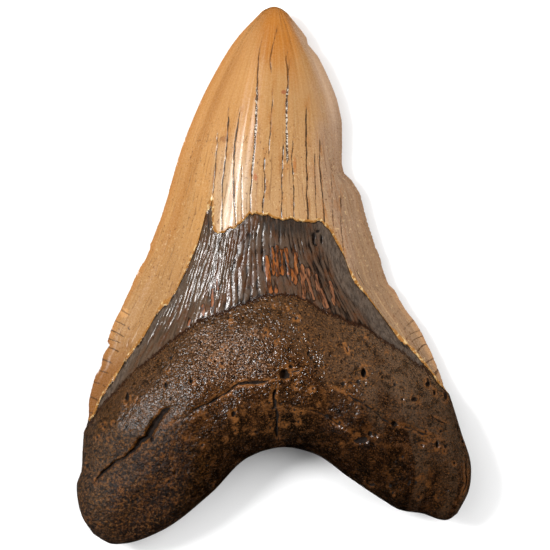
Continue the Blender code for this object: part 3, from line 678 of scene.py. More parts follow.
def crossing(place, border, low, high, ragged):
    """How far along each column a border crosses it, found by halving. On the rim its end point counts."""
    edge_x, edge_y = np.array(border).T
    on_rim = np.abs(place) == 1
    low, high = low + 0 * place, high + 0 * place
    for _ in range(HALVINGS):
        middle = (low + high) / 2
        x, y = plan(spread(place, middle), middle).T
        border_y = np.interp(x, edge_x, edge_y) + ragged(x)
        above = y > np.where(on_rim, np.where(x < 0, edge_y[0], edge_y[-1]), border_y)
        low, high = np.where(above, middle, low), np.where(above, high, middle)
    return (low + high) / 2


def broken_edge(x):
    """How the enamel's edge departs from its drawn course."""
    bites = np.abs(uneven(x, 0 * x, *BITES)) - USUAL_BITE
    calm = mix(1, CALM_SHARE, smoothstep(x, *CALM_EDGE))
    return (BITE_DEPTH * bites + uneven(x, 0 * x, *SPLINTERS)) * calm


def soft_edge(x):
    return uneven(x, 0 * x, *SOFT_EDGE)


def squareness(x, y, row):
    """How squarely the columns cross a row that follows a border: the sine of the angle between them."""
    columns = np.arange(COLUMNS + 1)
    knots = columns[::BORDER_SPAN]
    border_x, border_y = (np.gradient(np.interp(columns, knots, line[row][knots])) for line in (x, y))
    down_x, down_y = x[row + 1] - x[row - 1], y[row + 1] - y[row - 1]
    crossed = np.abs(border_x * down_y - border_y * down_x)
    lengths = np.hypot(border_x, border_y) * np.hypot(down_x, down_y)
    return np.clip(crossed / lengths, LEAST_SQUARENESS, 1)


class Sheet:
    """The grid of one face, as arrays with a row for each row of the grid and a column for each column."""

    def __init__(self, enamel_edge, root_border):
        place = np.linspace(-1, 1, COLUMNS + 1)
        enamel_ends = crossing(place, enamel_edge, *SEARCH, broken_edge)
        root_starts = crossing(place, root_border, enamel_ends + BOURLETTE_LEAST, ROOT_STARTS_BY, soft_edge)
        zones = np.repeat([0, 1, 2], [len(CROWN_ROWS), len(BOURLETTE_ROWS), len(ROOT_ROWS)])
        ends = np.array([0 * place, enamel_ends, root_starts, 1 + 0 * place])
        shares = np.concatenate([CROWN_ROWS, BOURLETTE_ROWS, ROOT_ROWS])[:, None]
        self.along = mix(ends[zones], ends[zones + 1], shares)
        across = spread(place[None, :], self.along)
        self.x, self.y = np.moveaxis(chipped(plan(across, self.along), across), 2, 0)
        self.out = np.abs(2 * across - 1)
        self.from_rim = (1 - self.out) / 2 * (self.x[:, -1:] - self.x[:, :1])
        steps = np.hypot(np.diff(self.x, axis=0), np.diff(self.y, axis=0))
        self.run = np.concatenate([np.zeros((1, COLUMNS + 1)), np.cumsum(steps, axis=0)])
        self.past_enamel = self.past(len(CROWN_ROWS))
        self.past_border = self.past(len(CROWN_ROWS) + len(BOURLETTE_ROWS))
        self.from_enamel = distance_to(enamel_edge, self.x, self.y, BORDER_STEPS)[0]
        crown_share = self.along / root_starts * ROOT_SHARE
        root_share = mix(ROOT_SHARE, 1, (self.along - root_starts) / (1 - root_starts))
        self.share = np.where(self.along < root_starts, crown_share, root_share)
        self.rootness = smoothstep(self.share, *CROWN_TO_ROOT)
        self.rim = graph(RIM_HEIGHT, self.share)
        self.tip_end = shoulder(1 - self.along / ROUND_TIP, TIP_FULLNESS)
        self.strand = place[None, :] * STRANDS + 0 * self.y
        self.enamelled = 1 - smoothstep(self.past_enamel, *ENAMEL_ENDS)
        self.bare = smoothstep(self.past_enamel, *BARE_BEGINS)
        self.bare = self.bare * (1 - smoothstep(self.past_border, *BARE_ENDS))
        self.rooted = smoothstep(self.past_border, *ROOT_BEGINS)

    def past(self, first_row):
        """How far each point is past the border that a row follows, square to that border."""
        return (self.run - self.run[first_row]) * squareness(self.x, self.y, first_row)

    def base_end(self, length):
        """How the thickness runs out over a length in front of the base."""
        return shoulder((self.share - 1) / length + 1, BASE_FULLNESS)

    def step(self, width):
        """The step off the enamel, 1 deep, which has a width and runs out over the upper root."""
        return smoothstep(self.past_enamel, 0, width) * (1 - smoothstep(self.past_border, 0, STEP_RUN_OUT))

    def nothing(self):
        """A distance from an edge at points that are nowhere near one."""
        return np.full(self.x.shape, MANY)


def root_swell(sheet):
    """Slow lumps on the root, 1 high."""
    (sway_x, length_y), (sway_y, length_x) = SWELL_SWAY
    phase_x = sheet.x / SWELL_LENGTHS[0] + sway_x * np.sin(sheet.y / length_y)
    phase_y = sheet.y / SWELL_LENGTHS[1] + sway_y * np.sin(sheet.x / length_x)
    ripple = RIPPLE * np.sin(sheet.x / RIPPLE_LENGTHS[0] - sheet.y / RIPPLE_LENGTHS[1])
    return (np.sin(phase_x) * np.cos(phase_y) + ripple) * smoothstep(sheet.past_border, *SWELL_FROM)


def grain(sheet, seed):
    """The root's sandy surface, about 1 high, with small hollows in it."""
    hollows = smoothstep(uneven(sheet.x, sheet.y, *SAND_HOLLOWS, seed + 5), *SAND_HOLLOWS_FROM)
    return uneven(sheet.x, sheet.y, *SAND, seed) - SAND_HOLLOW_DEPTH * hollows


def grainy(sheet, seed, grains):
    """The height of the root's grain, which lies on low lumps a few millimetres wide."""
    lumps = layered(sheet.x, sheet.y, LUMP_HEIGHT, LUMP_LENGTH, LUMP_LENGTH, seed)
    return (lumps + SAND_HEIGHT * grains) * sheet.rooted


def fibres(sheet):
    """The bourlette's ridges, up to 1 high, which run down to the root like fibres of bark."""
    x, y, strand = sheet.x, sheet.y, sheet.strand
    turns = strand / FIBRE_PITCH + (uneven(strand, y, *FIBRE_SWAY) + uneven(strand, y, *FIBRE_WAVER))
    count = np.floor(turns)
    ridge = np.abs(np.sin(np.pi * turns)) ** FIBRE_SHARPNESS
    tall = FIBRE_TALLNESS + uneven(count * FIBRE_STEPS[0], y, *FIBRE_UNEVENNESS)
    tilted = uneven(count * FIBRE_STEPS[1], y, *FIBRE_TILT) * (turns - count - 0.5)
    margin = np.interp(x, *zip(*SMOOTH_MARGIN)) * (1 + uneven(x, y, *MARGIN_WAVER))
    fade_from, fade_to = MARGIN_FADE
    ridged = mix(SMOOTHEST, 1, smoothstep(sheet.from_enamel, fade_from * margin, fade_to * margin))
    turned = mix(1, 0.5, smoothstep(x, *UPRIGHT_FROM))
    ridges = ridge * tall + tilted * turned + uneven(strand, y, *FIBRE_GRAIN)
    return mix(FIBRE_FLOOR, ridges, ridged)


def crown_cracks(sheet):
    """How far each point is from the nearest crown crack's edge, and how much pale grit fills that crack."""
    y, flat = sheet.y, 0 * sheet.y
    edge, grit = sheet.nothing(), np.zeros(sheet.x.shape)
    fade_top, fade_bottom = GRIT_FADES
    gritty = smoothstep(y, GRIT_TO, GRIT_TO + fade_bottom)
    gritty = gritty * (1 - smoothstep(y, GRIT_FROM - fade_top, GRIT_FROM))
    top = mix(FINE_SHARE, 1, smoothstep(y, *FINE_AT_TIP))
    for count, (route, half_width) in enumerate(CROWN_CRACKS):
        waver, bend = (
            strength * noise(y / length, flat, seed + count)
            for (strength, length), seed in ((CROWN_CRACK_WAVER, 60), (CROWN_CRACK_BEND, 90))
        )
        away, share = distance_to(route, sheet.x + (waver + bend), y)
        closing = smoothstep(1 - share, 0, CRACK_ENDS)
        taper = smoothstep(share, *CRACK_BEGINS) * mix(1, closing, route[-1][1] > ENDS_IN_CROWN)
        width = CROWN_CRACK_SHARE * half_width * taper * top
        width = width * (1 + uneven(y, flat + count, *CROWN_CRACK_UNEVENNESS))
        here = away - width + (1 - taper) * CRACK_CLOSES
        grit = np.where(here < edge, (half_width > GRIT_WIDTH) * gritty, grit)
        edge = np.minimum(edge, here)
    return edge, grit


def root_cracks(sheet):
    """The depth that cracks and grooves cut into the root, and how far each point is from their edge."""
    x, y = sheet.x, sheet.y
    depth, edge = np.zeros(x.shape), sheet.nothing()
    wander_x, wander_y = (uneven(x, y, *ROOT_CRACK_WAVER, seed) for seed in (51, 52))
    strength, length, seed = ROOT_CRACK_UNEVENNESS
    widening, blur = ROOT_CRACK_WIDENING
    for count, (route, half_width, deep) in enumerate(ROOT_CRACKS):
        away, share = distance_to(route, x + wander_x, y + wander_y)
        taper = np.sin(np.pi * np.clip(share, *ROOT_CRACK_ENDS)) ** ROOT_CRACK_TAPER
        width = half_width * taper * (1 + strength * noise(x / length + count, y / length, seed))
        inside = np.clip(1 - away / (widening * width + blur), 0, 1)
        depth = np.maximum(depth, deep * taper * inside**ROOT_CRACK_STEEPNESS)
        edge = np.minimum(edge, away - width)
    return depth, edge


def pits(sheet, some, sunk):
    """The depth of pits and how far each point is from their dark part.

    A pit has a place, two half lengths and a depth. The dark part fills those over the sunk depth.
    """
    depth, edge = np.zeros(sheet.x.shape), sheet.nothing()
    ragged = 1 + uneven(sheet.x, sheet.y, *PIT_RAGGEDNESS)
    for x, y, across, along, deep in some:
        away = np.hypot((sheet.x - x) / across, (sheet.y - y) / along) * ragged
        depth = np.maximum(depth, deep * smoothstep(PIT_MOUTH - away, 0, PIT_WALL))
        edge = np.minimum(edge, (away - min(1, deep / sunk)) * min(across, along))
    return depth, edge


def pores(sheet, count, seed):
    """Small pits strewn over the root, as pits gives them."""
    draw = np.random.default_rng(seed)
    places = zip(*(draw.uniform(*span, count) for span in (PORES_ACROSS, PORES_ALONG, PORE_RADIUS)))
    some = [(x, y, radius, radius * PORE_LENGTH, radius * PORE_DEPTH) for x, y, radius in places]
    depth, edge = pits(sheet, some, PORE_SUNK)
    return depth * sheet.rooted, edge + MANY * (1 - sheet.rooted)


def flakes(sheet):
    """How far each point is from the edge of the nearest rusty flake. It is below 0 on a flake."""
    edge = sheet.nothing()
    torn = layered(sheet.strand, sheet.y, *FLAKE_TEAR)
    for top, bottom, half_width in FLAKES:
        away = distance_to([top, bottom], sheet.x, sheet.y, 1)[0]
        edge = np.minimum(edge, away - half_width + torn)
    return edge


def lingual_height(sheet, shape):
    """The domed upper face with all its relief. It also keeps what the material needs to know of it."""
    crown_top = CROWN_DOME * graph(CROWN_RISE, sheet.share) * (1 - sheet.out**CROWN_FULLNESS)
    crown_top -= EDGE_HOLLOW * swelling(sheet.out, *EDGE_HOLLOW_AT)
    root_top = ROOT_DOME * graph(ROOT_RISE, sheet.share) * shoulder(sheet.out, ROOT_FULLNESS)
    rise = mix(crown_top, root_top, sheet.rootness) * sheet.tip_end * sheet.base_end(ROUND_BASE)
    relief = ROOT_SWELL * root_swell(sheet) - BORDER_CREASE * swelling(sheet.past_border, *BORDER_CREASE_AT)
    relief -= shape.enamel_thickness * sheet.step(ENAMEL_STEP)
    sheet.flake = flakes(sheet)
    flake_top = FLAKE_TOP + uneven(sheet.strand, sheet.y, *FLAKE_SKIN)
    sheet.texture = mix(fibres(sheet), flake_top, smoothstep(-sheet.flake, *FLAKE_RIM)) * sheet.bare
    relief += sheet.texture * shape.fibre_height * mix(1, LOWER_SHARE, smoothstep(sheet.x, *LOWER_FROM))
    grains = grain(sheet, 61)
    sheet.texture += grains * sheet.rooted
    relief += grainy(sheet, 64, grains) * shape.grain_height
    relief += uneven(sheet.strand, sheet.y, *ENAMEL_WAVES) * sheet.enamelled
    sheet.crack, sheet.grit = crown_cracks(sheet)
    relief -= CROWN_CRACK_DEPTH * smoothstep(-sheet.crack, *CRACK_WALL) * sheet.enamelled
    cut = [root_cracks(sheet), pits(sheet, PITS, SUNK), pores(sheet, *LINGUAL_PORES)]
    relief -= np.max([depth for depth, _ in cut], axis=0)
    sheet.hollow = np.min([edge for _, edge in cut], axis=0)
    return sheet.rim + np.maximum(rise + relief * smoothstep(rise, *RELIEF_FROM), 0)


def labial_height(sheet, shape):
    """The flatter lower face. Where it would dip below the surface that it lies on, it is flat."""
    crown = 1 - sheet.out**LABIAL_CROWN_FULLNESS
    filled = mix(crown, shoulder(sheet.out, LABIAL_ROOT_FULLNESS), sheet.rootness)
    filled *= sheet.tip_end * sheet.base_end(LABIAL_ROUND_BASE)
    lift = LABIAL_TIP_LIFT * (1 - smoothstep(sheet.share, 0, LABIAL_TIP_REACH))
    lift += LABIAL_WAIST_LIFT * swelling(sheet.share, *LABIAL_WAIST_AT)
    arch = smoothstep(sheet.share, *LABIAL_ARCH_FROM) * swelling(sheet.out, *LABIAL_ARCH_AT)
    lift += LABIAL_ARCH_LIFT * arch + shape.enamel_thickness * sheet.step(LABIAL_ENAMEL_STEP)
    lift += LABIAL_SWELL * root_swell(sheet)
    sheet.texture = fibres(sheet) * sheet.bare
    lift -= LABIAL_FIBRES * sheet.texture * shape.fibre_height
    grains = grain(sheet, 71)
    sheet.texture += grains * sheet.rooted
    lift -= grainy(sheet, 74, grains) * shape.grain_height
    lift -= uneven(sheet.strand, sheet.y, *LABIAL_ENAMEL_WAVES) * sheet.enamelled
    depth, sheet.hollow = pores(sheet, *LABIAL_PORES)
    lift += depth
    sheet.crack, sheet.flake, sheet.grit = sheet.nothing(), sheet.nothing(), 0 * sheet.x
    skim = mix(CROWN_SKIM, ROOT_SKIM, sheet.rootness)
    return np.maximum(mix(sheet.rim, lift - skim, filled), 0)


# What the mesh carries for the material, in millimetres but for the grit and the texture.
MEASURES = (
    "past_enamel", "past_border", "from_enamel", "from_rim", "strand", "crack", "grit", "flake", "texture",
    "hollow",
)


def serration(side, y, run, shape):
    """How far a point of the cutting edge lies in from the outline, between the points of the serrations."""
    height, worn_above, whole_below = RIGHT_SERRATION if side > 0 else LEFT_SERRATION
    down_to = smoothstep(y, *SERRATIONS_END)
    present = (LEAST_SERRATION + height * smoothstep(y, worn_above, whole_below)) * down_to
    wave = np.abs(np.sin(np.pi * (run + uneven(run, 0 * run, *SERRATION_WAVER)) / shape.serration_pitch))
    scallops = SCALLOP_DEPTH * (noise(run / SCALLOP_LENGTH, 0 * run, 82) + 1) * smoothstep(y, *SCALLOPS_BEGIN)
    depth = shape.serration_depth * (1 - wave) * (1 + uneven(run, 0 * run, *SERRATION_UNEVENNESS))
    return depth * present + scallops * down_to


def sheet_mesh(sheet, heights, stride):
    """One face: a flat grid of quads whose corners are moved onto the sheet's points.

    With a stride of 2 only every second row and column is used, except along the border, whose edges are cut
    in two.
    """
    mesh = bmesh.new()
    row_layer, column_layer = (mesh.verts.layers.float.new(name) for name in ("row", "column"))
    layers = [(getattr(sheet, name), mesh.verts.layers.float.new(name)) for name in MEASURES]
    rows, columns = (heights.shape[0] - 1) // stride, COLUMNS // stride
    bmesh.ops.create_grid(mesh, x_segments=columns, y_segments=rows, size=0.5)
    for vert in mesh.verts:
        vert[row_layer] = round((0.5 - vert.co.y) * rows) * stride
        vert[column_layer] = round((vert.co.x + 0.5) * columns) * stride
    if stride > 1:
        border = [edge for edge in mesh.edges if edge.is_boundary]
        bmesh.ops.subdivide_edges(mesh, edges=border, cuts=stride - 1)
    points = np.stack([sheet.x, sheet.y, heights], axis=2) * UNIT
    for vert in mesh.verts:
        row, column = round(vert[row_layer]), round(vert[column_layer])
        vert.co = points[row, column]
        for values, layer in layers:
            vert[layer] = values[row, column]
    return mesh


def join_meshes(first, second):
    """Adds the second bmesh to the first and welds the points that they share."""
    carrier = bpy.data.meshes.new("carrier")
    second.to_mesh(carrier)
    second.free()
    first.from_mesh(carrier)
    bpy.data.meshes.remove(carrier)
    bmesh.ops.remove_doubles(first, verts=first.verts, dist=WELD)


def cut_serrations(mesh, sheet, shape):
    """Cuts the rim's edges finer and lays all its points on the chipped and serrated outline."""
    row_layer, column_layer = mesh.verts.layers.float["row"], mesh.verts.layers.float["column"]
    crown_rows = len(CROWN_ROWS) + len(BOURLETTE_ROWS)
    rim = []
    for edge in mesh.edges:
        columns = {vert[column_layer] for vert in edge.verts}
        first_row = min(vert[row_layer] for vert in edge.verts)
        if columns in ({0}, {COLUMNS}) and first_row < crown_rows:
            rim.append(edge)
    cut = bmesh.ops.subdivide_edges(mesh, edges=rim, cuts=RIM_CUTS)["geom_inner"]
    points = {vert for edge in rim if edge.is_valid for vert in edge.verts}
    points |= {item for item in cut if isinstance(item, bmesh.types.BMVert)}
    steps = np.arange(sheet.along.shape[0])
    for vert in points:
        side = -1 if vert[column_layer] == 0 else 1
        column = 0 if side < 0 else COLUMNS
        across = 0.5 + 0.5 * side
        both = sheet.along, sheet.run
        along, run = (np.interp(vert[row_layer], steps, values[:, column]) for values in both)
        x, y = chipped(plan(across, along), across)
        x -= side * serration(side, y, run, shape)
        vert.co.x, vert.co.y = x * UNIT, y * UNIT


def tooth_mesh(shape):
    """The whole tooth as one closed bmesh, with its measures on its points."""
    lingual = Sheet(LINGUAL_ENAMEL_EDGE, LINGUAL_ROOT_BORDER)
    labial = Sheet(LABIAL_ENAMEL_EDGE, LABIAL_ROOT_BORDER)
    mesh = sheet_mesh(lingual, lingual_height(lingual, shape), 1)
    underside = sheet_mesh(labial, labial_height(labial, shape), LABIAL_STRIDE)
    bmesh.ops.reverse_faces(underside, faces=underside.faces)
    join_meshes(mesh, underside)
    cut_serrations(mesh, lingual, shape)
    return mesh


class Wire:
    """A value that runs from node to node. Arithmetic on it adds the math nodes that work it out."""

    def __init__(self, make, socket):
        self.make = make
        self.socket = socket

    def __add__(self, other):
        return self.make.math("ADD", self, other)

    def __sub__(self, other):
        return self.make.math("SUBTRACT", self, other)

    def __mul__(self, other):
        return self.make.math("MULTIPLY", self, other)

    def __truediv__(self, other):
        return self.make.math("DIVIDE", self, other)

    def __abs__(self):
        return self.make.math("ABSOLUTE", self)


class NodeMaker:
    """Adds nodes to a material and links them. A socket's value may be a wire or a plain value.

    It keeps readings and colours by name for the washes. A reading that it doesn't keep is one of the mesh's
    measures.
    """

    def __init__(self, material, colours):
        self.tree = material.node_tree
        self.shader = self.tree.nodes["Principled BSDF"]
        self.readings = {}
        self.colours = colours
        self.where = self.add("ShaderNodeTexCoord", "Object")

    def add(self, kind, out=0, settings=(), **sockets):
        node = self.tree.nodes.new(kind)
        for name, value in settings:
            setattr(node, name, value)
        for name, value in sockets.items():
            self.give(node.inputs[int(name[1:]) if name[1:].isdigit() else name.replace("_", " ")], value)
        return Wire(self, node.outputs[out])

    def give(self, socket, value):
        if isinstance(value, Wire):
            self.tree.links.new(value.socket, socket)
        elif socket.type == "RGBA":
            socket.default_value = (*value, 1)
        else:
            socket.default_value = value

    def keep(self, **readings):
        self.readings.update(readings)

    def reading(self, name):
        if name not in self.readings:
            self.readings[name] = self.add("ShaderNodeAttribute", "Fac", [("attribute_name", name)])
        return self.readings[name]

    def colour(self, given):
        """A colour by name, as seen on a screen, or as it is."""
        if isinstance(given, str):
            return self.colours[given]
        return paint(*given) if isinstance(given, tuple) else given

    def math(self, operation, a, b=0.0):
        return self.add("ShaderNodeMath", 0, [("operation", operation)], s0=a, s1=b)

    def step(self, value, low, high, to_low=0.0, to_high=1.0):
        settings = [("interpolation_type", "SMOOTHSTEP")]
        sockets = {"Value": value, "From_Min": low, "From_Max": high, "To_Min": to_low, "To_Max": to_high}
        return self.add("ShaderNodeMapRange", 0, settings, **sockets)

    def blend(self, share, a, b, kind="MIX"):
        settings = [("data_type", "RGBA"), ("blend_type", kind)]
        return self.add("ShaderNodeMix", 2, settings, s0=share, s6=a, s7=b)

    def noise(self, where, scale, detail=2.0, roughness=0.5):
        sockets = {"Vector": where, "Scale": scale, "Detail": detail, "Roughness": roughness}
        return self.add("ShaderNodeTexNoise", **sockets)

    def lines(self, value):
        """How far a value is from the nearest of some unevenly spaced lines, about 1 apart."""
        settings = [("voronoi_dimensions", "1D"), ("feature", "DISTANCE_TO_EDGE")]
        return self.add("ShaderNodeTexVoronoi", 0, settings, W=value, Scale=1.0)

    def scaled(self, x, y, z=1.0):
        """The place on the object, scaled along each axis."""
        return self.add("ShaderNodeMapping", Vector=self.where, Scale=(x, y, z))

    def strands(self, lengthwise, depth=0.0):
        """A place that is counted in strands across and scaled along them."""
        up = self.reading("y") * lengthwise
        return self.add("ShaderNodeCombineXYZ", X=self.reading("strand"), Y=up, Z=depth)

    def bounded(self, strength, bounds):
        """A strength that fades out past each of its bounds."""
        for name, absent, full, *strengths in bounds:
            strength = self.step(self.reading(name), absent, full, *strengths) * strength
        return strength

    def wash(self, tone, washes):
        """A tone under washes of other colours."""
        tone = self.colour(tone)
        for colour, strength, bounds, *kind in washes:
            tone = self.blend(self.bounded(strength, bounds), tone, self.colour(colour), *kind)
        return tone


def enamel_colour(make):
    """Tan enamel, warmer at the tip and left and duller on the right, with streaks, stains and cracks, a
    painted highlight low on the left, painted sheen along the upper right edge, and painted shade by the left
    edge and along the cracks.
    """
    x, y, inward, ragged = (make.reading(name) for name in ("x", "y", "from_rim", "ragged"))
    cloud = make.noise(make.where, 0.06, 3, 0.6) - 0.5
    make.keep(
        sideways=x + cloud * CLOUD_SWAY_X,
        upward=y + cloud * CLOUD_SWAY_Y,
        from_axis=abs(x),
        from_ridge=abs(x - RIDGE_X),
        from_worn_band=abs(x - PAINTED_GLOSS_X),
        from_edge_hollow=abs(inward - HOLLOW_FROM_RIM),
        streaks=make.noise(make.strands(0.03), 0.8, 3, 0.6),
        hairlines=make.lines(make.reading("strand") * 0.42 + make.noise(make.scaled(0.3, 0.1), 1, 1)),
        breaks=make.noise(make.scaled(0.8, 0.08), 1, 2),
        stains=make.noise(make.scaled(0.5, 0.12), 1, 3, 0.6),
        specks=make.noise(make.scaled(1.9, 1.3), 1, 1),
    )
    make.colours["rim_tone"] = make.wash("rim", RIM_WASHES)
    tone = make.wash("enamel_left", ENAMEL_WASHES)
    for (middle_x, middle_y), (half_width, half_height), strength, seen in ENAMEL_SPOTS:
        off_x, off_y = (x - middle_x) / half_width, (y - middle_y) / half_height
        away = off_x * off_x + off_y * off_y + ragged * SPOT_RAGGEDNESS
        tone = make.blend(make.step(away, *SPOT_EDGE, 0, strength), tone, paint(*seen))
    bent = y + inward * (inward * 0.05 + 0.3) + ragged
    frayed = make.reading("crack") + (make.noise(make.scaled(2.2, 0.9), 1, 2, 0.6) - 0.5) * 0.34
    make.keep(
        arcs=make.lines(bent * 0.33 + make.noise(make.scaled(0.02, 0.09, 0), 1, 1) * 3),
        arc_end=inward - make.noise(make.scaled(0, 0.4), 1, 0) * 7,
        arc_top=y + make.step(x, -10, 10, 0, 3),
        frayed_crack=frayed,
        open_crack=frayed + make.reading("grit") * -0.08,
        gritty=make.noise(make.where, 1.8, 2, 0.7),
    )
    grit_wash = (GRIT_TONE, make.reading("grit"), GRIT_LIES)
    make.colours["crack_tone"] = make.wash(CRACK_TONE, CRACK_TONE_WASHES + [grit_wash])
    return make.wash(tone, CRACK_WASHES)


def bourlette_colour(make):
    """Bare dentine: brown fibres with painted shade in the grooves between them, slate margins along the
    enamel, partly lightened as painted sheen, and rusty flakes.
    """
    threads = make.noise(make.strands(0.14), 1.6, 3, 0.65)
    rusty = make.noise(make.scaled(0.5, 0.16), 1, 3, 0.6)
    torn = (make.noise(make.strands(0.4), 0.95, 2, 0.6) - 0.5) * -0.9
    make.keep(
        threads=threads,
        fibre_relief=make.reading("texture") + (threads - 0.5),
        rusty=rusty,
        slate_depth=make.reading("from_enamel") - rusty * 2,
        slates=make.noise(make.scaled(1.6, 0.5), 1, 3, 0.6),
        from_middle=abs(make.reading("x") - BOURLETTE_MIDDLE_X),
        grooves=make.noise(make.strands(0.22, 7.0), 1.15, 2, 0.6),
        torn_flake=make.reading("flake") + torn,
    )
    make.colours["slate_tone"] = make.wash("slate", SLATE_WASHES)
    make.colours["flake_tone"] = make.wash("flake", FLAKE_WASHES)
    return make.wash("fibre_dark", BOURLETTE_WASHES)


def root_colour(make):
    """Grainy bone: brown with pale and dark grains, redder in the middle, with painted shade towards the
    base, on the lobes and in the grain's hollows, and painted highlights and sheen on the upper root.
    """
    x, y = make.reading("x"), make.reading("y")
    clouds = make.noise(make.where, 0.13, 4, 0.6)
    patches = (clouds - 0.5) * PATCH_SWAY
    make.keep(
        clouds=clouds,
        downward=make.reading("past_border") + patches,
        mottle=make.noise(make.where, 0.7, 4, 0.75),
        grains=make.noise(make.where, 2.3, 2, 0.7),
        blotches=make.noise(make.where, 0.42, 3, 0.7),
        coarse=make.noise(make.where, 1.25, 2, 0.7),
        beside_sheen=abs(x - SHEEN_X),
        off_sheen=abs(y - SHEEN_Y),
        lobe=y - patches * 0.4 - make.step(x, 4, 20, 0, 8),
        cloudy_y=y + patches * 0.5,
    )
    return make.wash("root_upper", ROOT_WASHES)


def tooth_colour(make, bare, rooted):
    """The colours of the enamel, the bourlette and the root, with what lies along their borders: painted
    shade in the root's border crease and under the enamel's lip, and painted shade in the hollows.
    """
    colour = make.blend(bare, enamel_colour(make), bourlette_colour(make))
    colour = make.wash(make.blend(rooted, colour, root_colour(make)), BORDER_WASHES)
    # Painted shadow under the enamel's lip, lighter at the spike.
    shade = make.bounded(LIP_SHADOW_SPIKE_CUT, LIP_SHADOW_SPIKE) + LIP_SHADOW_STRENGTH
    colour = make.wash(colour, [(LIP_SHADOW_TONE, shade, LIP_SHADOW_BOUNDS)])
    make.keep(lip_noise=make.noise(make.where, 1.1, 1))
    make.colours["lip_tone"] = make.wash("lip", LIP_TONE_WASHES)
    # Last, the lip, and painted shade inside the hollows.
    return make.wash(colour, LIP_WASHES + HOLLOW_SHADE_WASHES)


def tooth_roughness(make, bare, rooted):
    """Glossy enamel and fibres, a satin root, and hollows, flakes and patches that are duller."""
    x, y, ragged = (make.reading(name) for name in ("x", "y", "ragged"))
    make.keep(
        patches=make.noise(make.scaled(1.2, 0.4), 1, 2),
        ragged_x=x + ragged * ROUGH_SWAY,
        ragged_y=y + ragged * ROUGH_SWAY,
        matt_y=y + (make.noise(make.where, 0.12, 2) - 0.5) * MATT_SWAY,
    )
    gloss = make.noise(make.where, 1.9, 2, 0.6)
    on_enamel, on_bare, on_root = (
        make.step(gloss, *GLOSS_NOISE, *roughness)
        for roughness in (ENAMEL_ROUGHNESS, BARE_ROUGHNESS, ROOT_ROUGHNESS)
    )
    for strength, bounds in BARE_DULL:
        on_bare = on_bare + make.bounded(strength, bounds)
    for strength, bounds in ROOT_DULL:
        on_root = on_root + make.bounded(strength, bounds)
    rough = on_enamel + bare * (on_bare - on_enamel)
    rough = rough + rooted * (on_root - rough)
    [(_, _, in_hollow)] = HOLLOW_SHADE_WASHES
    rough = make.math("MAXIMUM", rough, make.bounded(HOLLOW_ROUGHNESS, in_hollow))
    return make.math("MAXIMUM", rough, make.bounded(*FLAKE_ROUGHNESS))


def tooth_bump(make, bare, rooted):
    """What is too fine for the mesh: threads on the bourlette, sand on the root and a skin over all."""
    make.keep(from_sand=abs(make.reading("x") - SAND_MIDDLE_X))
    threads = make.noise(make.strands(0.25), 1.8, 1) * (bare - rooted)
    sandy = rooted * make.math("MAXIMUM", make.bounded(*UPPER_SAND), make.bounded(*LEFT_SAND))
    sandy = sandy * make.bounded(*MIDDLE_SAND)
    sand = make.noise(make.where, 1.2, 1, 0.6) * (sandy + bare * BARE_SAND)
    skin = make.noise(make.scaled(1, 0.25), 1.2, 2) * SKIN_BUMP
    height = threads * FIBRE_BUMP + sand * SAND_BUMP + skin
    return make.add("ShaderNodeBump", Height=height, Distance=BUMP_DISTANCE, Strength=1.0)


def tooth_material(colours):
    """One finish for the whole tooth. What each point is made of comes from its measures."""
    material = bpy.data.materials.new("fossil_tooth")
    material.use_nodes = True
    make = NodeMaker(material, {name: tuple(getattr(colours, name)) for name in ToothColours.__annotations__})
    make.where = make.scaled(1000, 1000, 1000)
    ragged = (make.noise(make.where, 1.6, 2) - 0.5) * 0.5
    torn = (make.noise(make.scaled(2.0, 0.8), 1, 2, 0.6) - 0.5) * 2.6
    make.keep(
        x=make.add("ShaderNodeSeparateXYZ", "X", Vector=make.where),
        y=make.add("ShaderNodeSeparateXYZ", "Y", Vector=make.where),
        ragged=ragged,
        torn_enamel=make.reading("past_enamel") + ragged,
        torn_border=make.reading("past_border") + torn,
    )
    bare = make.step(make.reading("torn_enamel"), *BARE_LOOKS)
    rooted = make.step(make.reading("torn_border"), *ROOT_LOOKS)
    make.give(make.shader.inputs["Base Color"], tooth_colour(make, bare, rooted))
    make.give(make.shader.inputs["Roughness"], tooth_roughness(make, bare, rooted))
    make.give(make.shader.inputs["Normal"], tooth_bump(make, bare, rooted))
    make.shader.inputs["Specular IOR Level"].default_value = SPECULAR
    return material


class ToothShape(PropertyGroup):
    """Sizes of the tooth's relief, in millimetres on the drawn tooth."""

    enamel_thickness: FloatProperty(
        name="Enamel thickness", description="How far the enamel stands proud of the bourlette, in mm",
        default=0.6,
    )
    serration_pitch: FloatProperty(
        name="Serration pitch", description="Length of one serration along the cutting edge, in mm",
        default=1.2,
    )
    serration_depth: FloatProperty(
        name="Serration depth", description="Depth between two serrations, in mm", default=0.3
    )
    fibre_height: FloatProperty(
        name="Fibre height", description="Height of the bourlette's fibrous ridges, in mm", default=0.34
    )
    grain_height: FloatProperty(
        name="Grain", description="Strength of the root's sandy grain", default=1.0, subtype="FACTOR",
        soft_max=2.0,
    )


def colour_property(name, description, seen):
    """A colour that a user can change, with its default as seen on a screen."""
    return FloatVectorProperty(
        name=name, description=description, default=paint(*seen), subtype="COLOR", min=0, max=1
    )


